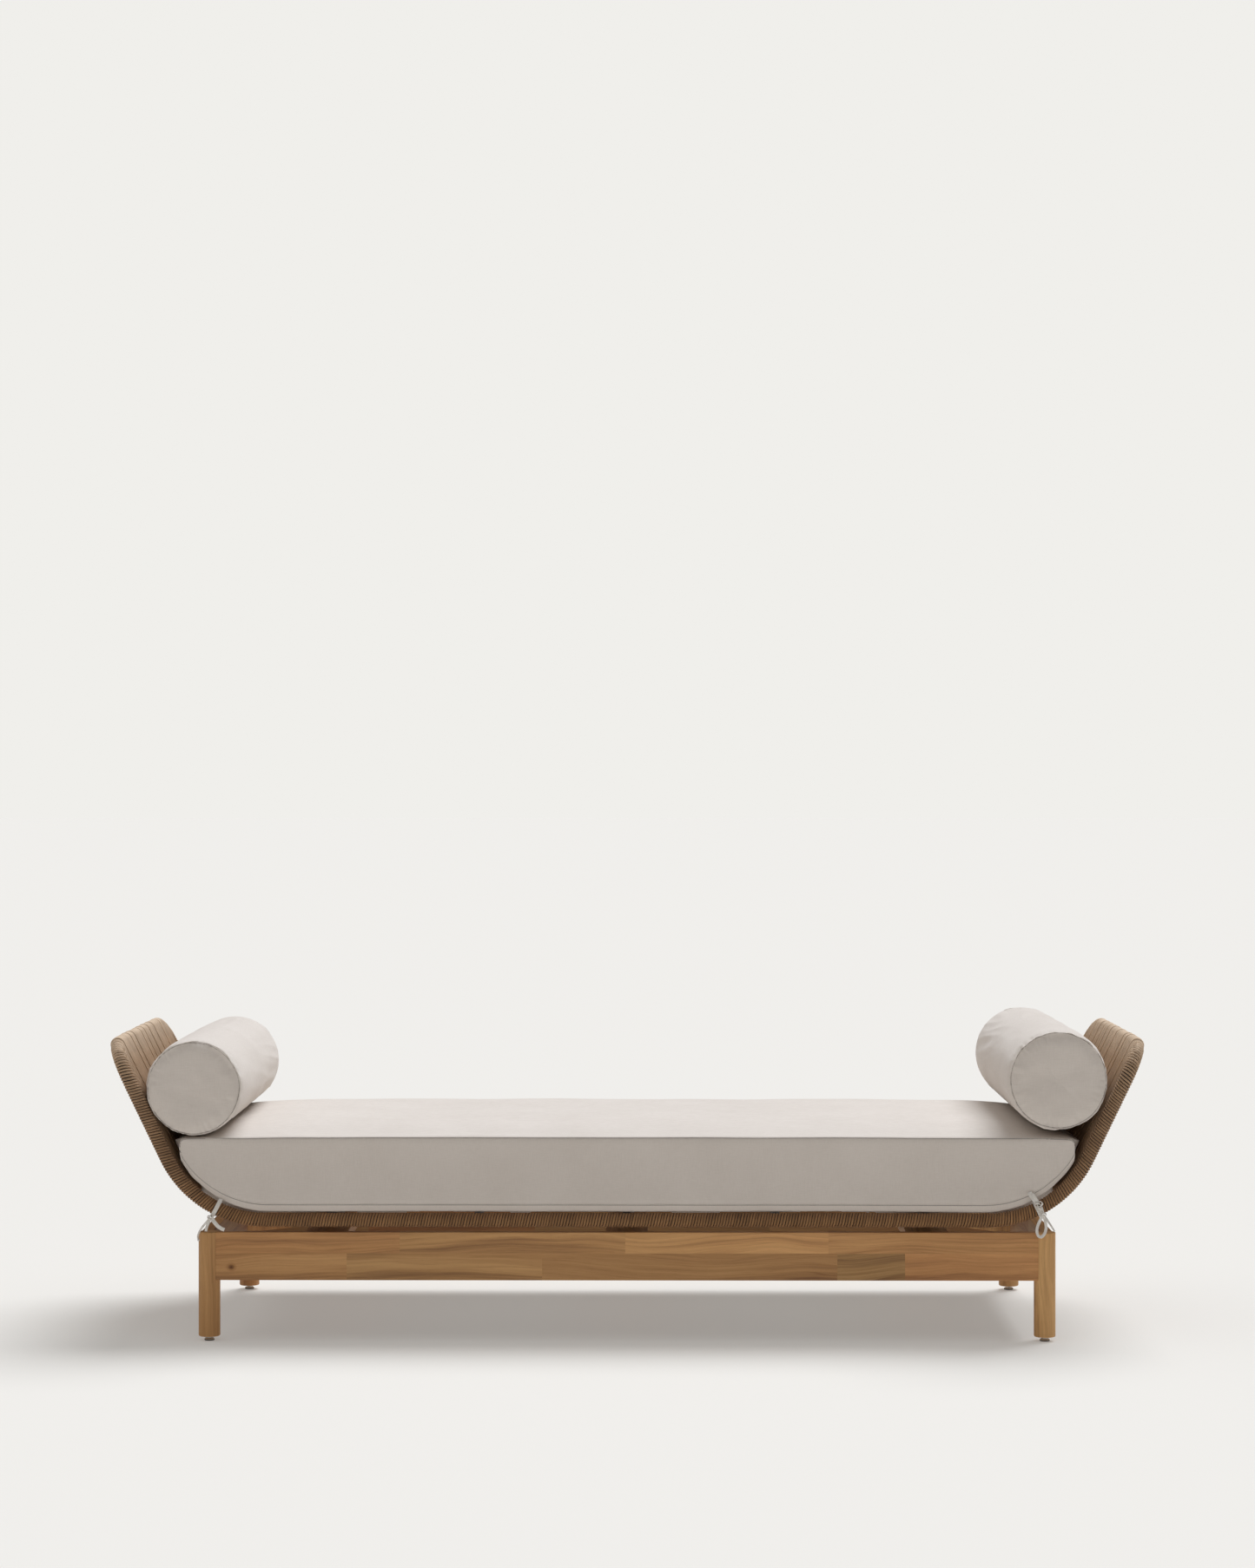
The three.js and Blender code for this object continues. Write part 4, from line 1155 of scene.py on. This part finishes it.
def make_bolster(side):
    centre, radius = bolster_axis(side), bolster_radius(side)
    half = high(f"bolster_{side}").y
    sign = SIGN[side]
    body = f"loose_bolster_{side}"
    around = BOLSTER_SIDES
    edge = BOLSTER_EDGE
    start = radius + PLUMPER[side]
    profile = [(0.004, 0)] + [(r, 0) for r in np.linspace(0.012, start - edge, 11)]
    seam_ring = len(profile) - 1
    profile += [(start - edge + edge * math.sin(a), edge - edge * math.cos(a))
                for a in np.radians((30, 60, 90))]
    length = 2 * half
    body_rows = [(start, y) for y in np.linspace(edge, length - edge, BOLSTER_ROWS)][1:-1]
    profile += body_rows + [(r, length - y) for r, y in reversed(profile)]
    count = len(profile)
    vertices = [(centre.x + r * math.sin(2 * math.pi * k / around), -half + y,
                 centre.z + r * math.cos(2 * math.pi * k / around))
                for r, y in profile for k in range(around)]
    faces = ring_faces(count, around)
    places = np.array(vertices)
    ring = np.repeat(np.arange(count), around)
    piece = make_object(f"bolster_cover_{side}", places, faces, FABRIC, body)
    held = np.nonzero((ring == seam_ring) | (ring == count - 1 - seam_ring))[0]
    cap = np.full(len(places), 0.0075) - 0.0050 * beside_zip(places, side)
    inflate(piece, held, cap, 3.2, 0.035)
    subdivide(piece)
    mesh = piece.data

    def creases(at):
        turn = np.arctan2(at[:, 0] - centre.x, at[:, 2] - centre.z)
        radial = np.hypot(at[:, 0] - centre.x, at[:, 2] - centre.z)
        on_tube = smooth_step((radial - start + 0.012) / 0.008)
        toward = np.abs(at[:, 1]) / half
        spots = np.stack([np.sin(turn), at[:, 1], np.cos(turn)], 1)
        long_folds = field(spots + np.stack([0 * turn, 0 * turn, at[:, 1] * 1.1], 1),
                           (0.30, 0.42, 0.30), 4.0 + sign)
        long_folds = -np.abs(long_folds) * 0.0050 * smooth_step((at[:, 1] + 0.18) / 0.35)
        dents = field(spots, (0.5, 0.16, 0.5), 9.0 + sign, 2) * 0.0018
        rim = np.exp(-((toward - 0.955) / 0.035) ** 2)
        pleats = -np.abs(np.sin(turn * 17 + 3 * field(spots, (0.4, 0.4, 0.4), 2.0))) * 0.0012 * rim
        from_seam = np.hypot(radial - start + edge, half - np.abs(at[:, 1]))
        gathers = np.abs(np.sin(turn * 27 + 4 * field(spots, (0.5, 0.5, 0.5), 12.0 + sign)))
        gathers = (1 - gathers) ** 2 * smooth_step(0.5 + field(spots, (0.7, 0.7, 0.7), 15.0 + sign))
        gathers = -0.0030 * gathers * np.exp(-(from_seam / 0.013) ** 2)
        on_cap = 1 - on_tube
        cap_soft = field(at, (0.06, 0.3, 0.06), 6.0 + sign, 2) * 0.0028
        spokes = np.abs(field(spots, (0.16, 1.0, 0.16), 8.0)) * 0.003
        spokes = -spokes * smooth_step((radial - start * 0.6) / (start * 0.35))
        calm = 1 - beside_zip(at, side)
        rim_wave = field(spots, (0.35, 9.0, 0.35), 19.0 + sign) * 0.0022
        rim_wave = rim_wave * np.exp(-(from_seam / 0.03) ** 2) * on_tube
        return (on_tube * (long_folds + dents + pleats) + on_cap * (cap_soft + spokes)
                + gathers + rim_wave) * calm

    rumple(mesh, creases)
    subdivide(piece)
    mesh = piece.data
    tuck(mesh, side)
    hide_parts(f"bolster_{side}")
    for ring_number, end in ((seam_ring, "front"), (count - 1 - seam_ring, "rear")):
        loop = resample(places[ring == ring_number], 0.005)
        # painted shade: the bolsters' seam rolls are dark in patches, for their creases
        seam(f"bolster_seam_{side}_{end}", mesh, loop, body, SEAM_PATCHY_SHADE, radius=0.0010, lift=-0.0002)


def tuck(mesh, side):
    """Flattens a bolster where it leans on the rope and where it lies on the mattress, and
    keeps its far end as full as the seam there."""
    places = coordinates(mesh)
    sign = SIGN[side]
    centre, radius = bolster_axis(side), bolster_radius(side)
    dx, dz = places[:, 0] - centre.x, places[:, 2] - centre.z
    away = np.hypot(dx, dz)
    half = high(f"bolster_{side}").y
    from_end = half - places[:, 1]
    eased = smooth_step((0.085 - from_end) / 0.05) * smooth_step((from_end - 0.0015) / 0.004)
    full = radius + PLUMPER[side] - 0.012 * (1 - eased)
    tube = (from_end < 0.085) & (away > radius - 0.010)
    wanted = np.where(tube, np.maximum(away, full), away) / np.maximum(away, 1e-6)
    places[:, 0] = centre.x + dx * wanted
    places[:, 2] = centre.z + dz * wanted
    out = np.array([sign * math.sin(SLOPE), 0, -math.cos(SLOPE)])
    plane = np.array([sign * FOOT.x, 0, FOOT.z])
    reach = (places - plane) @ out
    limit = -(WRAP_RADIUS + 0.0024)
    past = np.maximum(reach - limit, 0)
    places -= past[:, None] * out
    centre, radius = bolster_axis(side), bolster_radius(side) + 0.0010
    dx, dz = places[:, 0] - centre.x, places[:, 2] - centre.z
    away = np.hypot(dx, dz)
    beneath = (dz < 0) & (np.abs(dx) < radius * 0.8) & (away > radius)
    places[beneath, 0] = centre.x + dx[beneath] * radius / away[beneath]
    places[beneath, 2] = centre.z + dz[beneath] * radius / away[beneath]
    set_coordinates(mesh, places)


make_mattress()
for side in ("left", "right"):
    make_bolster(side)


# ---- Ties, zips and small hardware -------------------------------------------

TIE_ANGLE = math.radians(26.3)
TIE_SPOT = Vector((BEND_X + BEND_RADIUS * math.sin(TIE_ANGLE), -RAIL_Y,
                   RAIL_Z + BEND_RADIUS * (1 - math.cos(TIE_ANGLE))))


def smooth_path(points, step=0.0025):
    """A Catmull-Rom curve through given points, finely stepped."""
    points = np.array(points, float)
    padded = np.concatenate([2 * points[:1] - points[1:2], points, 2 * points[-1:] - points[-2:-1]])
    parts = []
    for k in range(len(points) - 1):
        p0, p1, p2, p3 = padded[k:k + 4]
        count = max(int(np.linalg.norm(p2 - p1) / step), 2)
        t = np.linspace(0, 1, count, endpoint=False)[:, None]
        parts.append(0.5 * (2 * p1 + (p2 - p0) * t + (2 * p0 - 5 * p1 + 4 * p2 - p3) * t ** 2
                            + (3 * p1 - p0 - 3 * p2 + p3) * t ** 3))
    parts.append(points[-1:])
    return np.concatenate(parts)


TIE_THICKNESS = 0.0011
TIE_WIDTH = 0.0085
TAPE_SIDES = 10


def tape_section(width, thickness):
    """A flat tape's outline, with TAPE_SIDES points."""
    half, edge = width / 2, thickness / 2
    return [(half, -edge * 0.4), (half, edge * 0.4), (half * 0.8, edge), (0, edge * 1.15),
            (-half * 0.8, edge), (-half, edge * 0.4), (-half, -edge * 0.4), (-half * 0.8, -edge),
            (0, -edge * 1.15), (half * 0.8, -edge)]


def tape_rings(path, facing, width, thickness, closed=False, twist=0.0):
    """Rings of a flat tape along a path; facing is the way its broad side looks."""
    forward = tangents(path, closed)
    facing = np.broadcast_to(np.asarray(facing, float), path.shape)
    away = unit(facing - forward * (facing * forward).sum(1, keepdims=True))
    side = np.cross(forward, away)
    turn = np.linspace(0, twist, len(path))[:, None]
    side, away = side * np.cos(turn) + away * np.sin(turn), away * np.cos(turn) - side * np.sin(turn)
    return swept_rings(path, side, away, tape_section(width, thickness))


def knot_path(centre, size, tilt):
    """A trefoil's path: the lump of a pulled knot."""
    t = np.linspace(0, 2 * math.pi, 56, endpoint=False)
    x = (np.sin(t) + 2 * np.sin(2 * t)) / 3
    z = (np.cos(t) - 2 * np.cos(2 * t)) / 3
    y = -np.sin(3 * t) * 0.42
    cos, sin = math.cos(tilt), math.sin(tilt)
    flat = np.stack([x * cos - z * sin, y, x * sin + z * cos], 1)
    return np.asarray(centre) + flat * size


def make_tie(name, node, tapes, knots, turned):
    """One tie: tapes as (points, width, twist), knots as (centre, size, tilt), and the loop round
    the rail. A turned tie is set at the opposite rear corner."""
    vertices, faces, total = [], [], 0

    def add(rings, count, closed=False):
        nonlocal total
        faces.extend(ring_faces(count, TAPE_SIDES, total, closed))
        vertices.append(rings)
        total += len(rings)

    for points, width, twist in tapes:
        path = smooth_path(points)
        add(tape_rings(path, (0.05, -1, 0.12), width, TIE_THICKNESS, twist=twist), len(path))
    for centre, size, tilt in knots:
        path = knot_path(centre, size, tilt)
        add(tape_rings(path, path - np.asarray(centre) + (0, -1e-4, 0), size * 0.55, size * 0.22,
                       closed=True), len(path), True)
    side = 1 if tapes[0][0][0][0] > 0 else -1
    t = np.linspace(0, 2 * math.pi, 48, endpoint=False)
    radial = np.array([side * math.sin(TIE_ANGLE), 0, -math.cos(TIE_ANGLE)])
    out = np.cos(t)[:, None] * radial + np.sin(t)[:, None] * np.array([0, 1.0, 0])
    spot = np.array(TIE_SPOT) * (side, 1, 1)
    loop = spot + out * (WRAP_RADIUS + 0.0009)
    add(tape_rings(loop, out, TIE_WIDTH, TIE_THICKNESS, closed=True), len(loop), True)
    places = np.concatenate(vertices)
    if turned:
        places = places * (-1, -1, 1)
    piece = make_object(name, places, faces, TAPE, BODY)
    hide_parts(node)


# Each tie's tapes, listed one by one: points, width, twist in radians.
LEFT_TAPES = (
    (((-0.8640, -0.3730, 0.3030), (-0.8672, -0.3792, 0.2960), (-0.8745, -0.3802, 0.2820),
      (-0.8815, -0.3795, 0.2690), (-0.8845, -0.3815, 0.2655)), 0.0085, 0.0),
    (((-0.8850, -0.3850, 0.2645), (-0.8925, -0.3880, 0.2560), (-0.9010, -0.3880, 0.2460),
      (-0.9085, -0.3865, 0.2345), (-0.9120, -0.3860, 0.2240), (-0.9105, -0.3865, 0.2170)), 0.0045, 0.9),
    (((-0.8850, -0.3850, 0.2640), (-0.8895, -0.3875, 0.2530), (-0.8930, -0.3885, 0.2440),
      (-0.8945, -0.3885, 0.2360)), 0.0060, 0.5),
    (((-0.8835, -0.3850, 0.2640), (-0.8770, -0.3885, 0.2560), (-0.8700, -0.3895, 0.2480),
      (-0.8620, -0.3890, 0.2420), (-0.8550, -0.3880, 0.2390)), 0.0085, -0.5),
)
LEFT_KNOTS = (((-0.8845, -0.3845, 0.2650), 0.0068, 0.4), ((-0.9105, -0.3865, 0.2165), 0.0024, 0.0))
RIGHT_TAPES = (
    (((0.8555, -0.3765, 0.3190), (0.8590, -0.3790, 0.3140), (0.8655, -0.3812, 0.3040),
      (0.8720, -0.3825, 0.2960)), 0.0100, 0.2),
    (((0.8620, -0.3790, 0.3160), (0.8680, -0.3812, 0.3080), (0.8740, -0.3825, 0.2980)), 0.0060, -0.3),
    (((0.8790, -0.3850, 0.2890), (0.8810, -0.3860, 0.2820), (0.8830, -0.3860, 0.2760)), 0.0080, 0.0),
    (((0.8830, -0.3870, 0.2720), (0.8780, -0.3895, 0.2620), (0.8725, -0.3905, 0.2500),
      (0.8705, -0.3900, 0.2380), (0.8735, -0.3895, 0.2280), (0.8800, -0.3895, 0.2255),
      (0.8865, -0.3895, 0.2320), (0.8900, -0.3900, 0.2440), (0.8885, -0.3895, 0.2580),
      (0.8850, -0.3870, 0.2700)), 0.0065, 0.6),
    (((0.8840, -0.3870, 0.2720), (0.8905, -0.3885, 0.2640), (0.8975, -0.3880, 0.2540),
      (0.9035, -0.3870, 0.2450), (0.9085, -0.3865, 0.2370)), 0.0050, 0.8),
)
RIGHT_KNOTS = (((0.8755, -0.3850, 0.2925), 0.0085, 0.3), ((0.8835, -0.3865, 0.2730), 0.0068, -0.5))

make_tie("tie_tapes_front_left", "tie_front_left", LEFT_TAPES, LEFT_KNOTS, False)
make_tie("tie_tapes_front_right", "tie_front_right", RIGHT_TAPES, RIGHT_KNOTS, False)
make_tie("tie_tapes_rear_left", "tie_rear_left", RIGHT_TAPES, RIGHT_KNOTS, True)
make_tie("tie_tapes_rear_right", "tie_rear_right", LEFT_TAPES, LEFT_KNOTS, True)


COIL_PITCH = 0.0032
COIL_SIDES = 5
RINGS_A_TOOTH = 8


def make_zip(node, start, forward, away, length, body):
    """A zip: two tapes with a coil of teeth between them, from start along forward."""
    forward, away = np.array(forward, float), np.array(away, float)
    side = np.cross(forward, away)
    vertices, faces, total = [], [], 0
    path = np.array(start) + np.linspace(0, length, int(length / 0.02))[:, None] * forward
    for edge in (-1, 1):
        centre = path + side * edge * 0.0062 + away * 0.0003
        rings = swept_rings(centre, np.tile(side, (len(path), 1)), np.tile(away, (len(path), 1)),
                            tape_section(0.0088, 0.0007))
        faces += ring_faces(len(path), TAPE_SIDES, total)
        vertices.append(rings)
        total += len(rings)
    piece = make_object(f"{node}_tape", np.concatenate(vertices), faces, ZIP_TAPE, body)
    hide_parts(node)
    turns = int(length / COIL_PITCH)
    t = np.linspace(0, turns, turns * RINGS_A_TOOTH)
    coil = (np.array(start) + forward * (t * COIL_PITCH)[:, None]
            + side * (np.cos(t * 2 * math.pi) * 0.0021)[:, None]
            + away * (0.0006 + np.sin(t * 2 * math.pi) * 0.0004)[:, None])
    rings = swept_rings(coil, unit(np.cross(tangents(coil), away)), np.tile(away, (len(coil), 1)),
                        round_section(0.0006, COIL_SIDES))
    make_object(f"{node}_teeth", rings, ring_faces(len(coil), COIL_SIDES), ZIP_TEETH, body)


strip = middle("mattress_zip")
length = high("mattress_zip").x - low("mattress_zip").x
make_zip("mattress_zip", (-length / 2, low("mattress_zip").y, strip.z), (1, 0, 0), (0, 1, 0),
         length, BODY)
for side in ("left", "right"):
    node = f"bolster_zip_{side}"
    strip, centre = middle(node), bolster_axis(side)
    away = (strip - centre).normalized()
    start = centre + away * (bolster_radius(side) + 0.0003) + Vector((0, low(node).y, 0))
    make_zip(node, start, (0, 1, 0), away, high(node).y - low(node).y, f"loose_bolster_{side}")


def hexagon(radius, turn):
    """The reach of a six-sided outline at a turn, where its corners are at radius."""
    return radius * (math.cos(math.pi / 6) / math.cos((turn % (math.pi / 3)) - math.pi / 6))


def leveller(face, side):
    """A leveller's rubbery foot, its hexagonal collar and its threaded stud."""
    body = f"leveller_{face}_{side}"
    pad, stud = f"leveller_pad_{face}_{side}", f"leveller_stud_{face}_{side}"
    radius, top = (high(pad).x - low(pad).x) / 2, high(pad).z
    edge = 0.0012
    rounded = [(radius - edge + edge * math.sin(a), edge - edge * math.cos(a)) for a in quarter(5)]
    foot = [(0.001, 0)] + rounded + [(radius, top - 0.0020), (radius - 0.0004, top - 0.0010),
                                     (radius - 0.0016, top), (0.001, top)]
    around = 40
    piece = make_object(f"{pad}_foot", lathe_rings(middle(pad), foot, around),
                        ring_faces(len(foot), around), PAD, body)
    piece.data.set_sharp_from_angle(angle=math.radians(35))
    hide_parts(pad)
    collar, collar_top = top + 0.0003, low(f"leg_{face}_{side}").z - 0.0003
    profile = [(0.001, collar), (0.0060, collar), (0.0070, collar + 0.0005),
               (0.0070, collar_top - 0.0005), (0.0060, collar_top), (0.0038, collar_top)]
    half_pitch = 0.000625
    thread = np.arange(collar_top, high(stud).z - 0.001, half_pitch)
    profile += [(0.0040 if index % 2 else 0.0034, z) for index, z in enumerate(thread)]
    profile += [(0.0030, high(stud).z), (0.001, high(stud).z)]
    centre = middle(stud)
    widest_thread = 0.0045
    around = 36
    vertices = []
    for r, z in profile:
        for k in range(around):
            turn = 2 * math.pi * k / around
            reach = hexagon(r, turn) if r > widest_thread else r
            vertices.append((centre.x + reach * math.cos(turn), centre.y + reach * math.sin(turn), z))
    piece = make_object(f"{stud}_threaded", vertices, ring_faces(len(profile), around), NICKEL, body)
    piece.data.set_sharp_from_angle(angle=math.radians(25))
    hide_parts(stud)


for corner in CORNERS:
    leveller(*corner)


WELD_BEAD = ((0, 0.0018), (0.0015, 0.0022), (0.004, 0.0012), (0.006, 0))  # from the end, and high


def cross_tube(number):
    """A cross tube of the tray, with a weld bead at each end."""
    node = f"cross_tube_{number}"
    place, end = middle(node), high(node).y
    profile = [(along_it - end, TUBE_RADIUS + bead) for along_it, bead in WELD_BEAD]
    profile += [(-y, radius) for y, radius in reversed(profile)]
    around = 32
    vertices = [(place.x + radius * math.cos(2 * math.pi * k / around), y,
                 place.z + radius * math.sin(2 * math.pi * k / around))
                for y, radius in profile for k in range(around)]
    faces = [tuple(reversed(f)) for f in ring_faces(len(profile), around)]
    piece = make_object(f"{node}_round", vertices, faces, STEEL, BODY)
    piece.data.set_sharp_from_angle(angle=math.radians(50))
    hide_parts(node)


for number in range(1, 6):
    cross_tube(number)


def ease_edges(names, width):
    """Rounds the edges of CAD nodes that keep their own shape."""
    for name in names:
        bevel = NODES[name].modifiers.new("eased", "BEVEL")
        bevel.width = width
        bevel.segments = 2
        bevel.limit_method = "ANGLE"


ease_edges([name for name in NODES if "cross_rail" in name or "corner_block" in name], 0.0015)
ease_edges([name for name in NODES if "slider" in name or "tray_bolt" in name], 0.0004)

paint([name for name in NODES if "tube" in name or "side_rail" in name or "top_bar" in name], STEEL)
paint([name for name in NODES if "tray_bolt" in name or "stud" in name or "slider" in name], NICKEL)
paint([name for name in NODES if "spacer" in name or "leveller_pad" in name], PLASTIC)
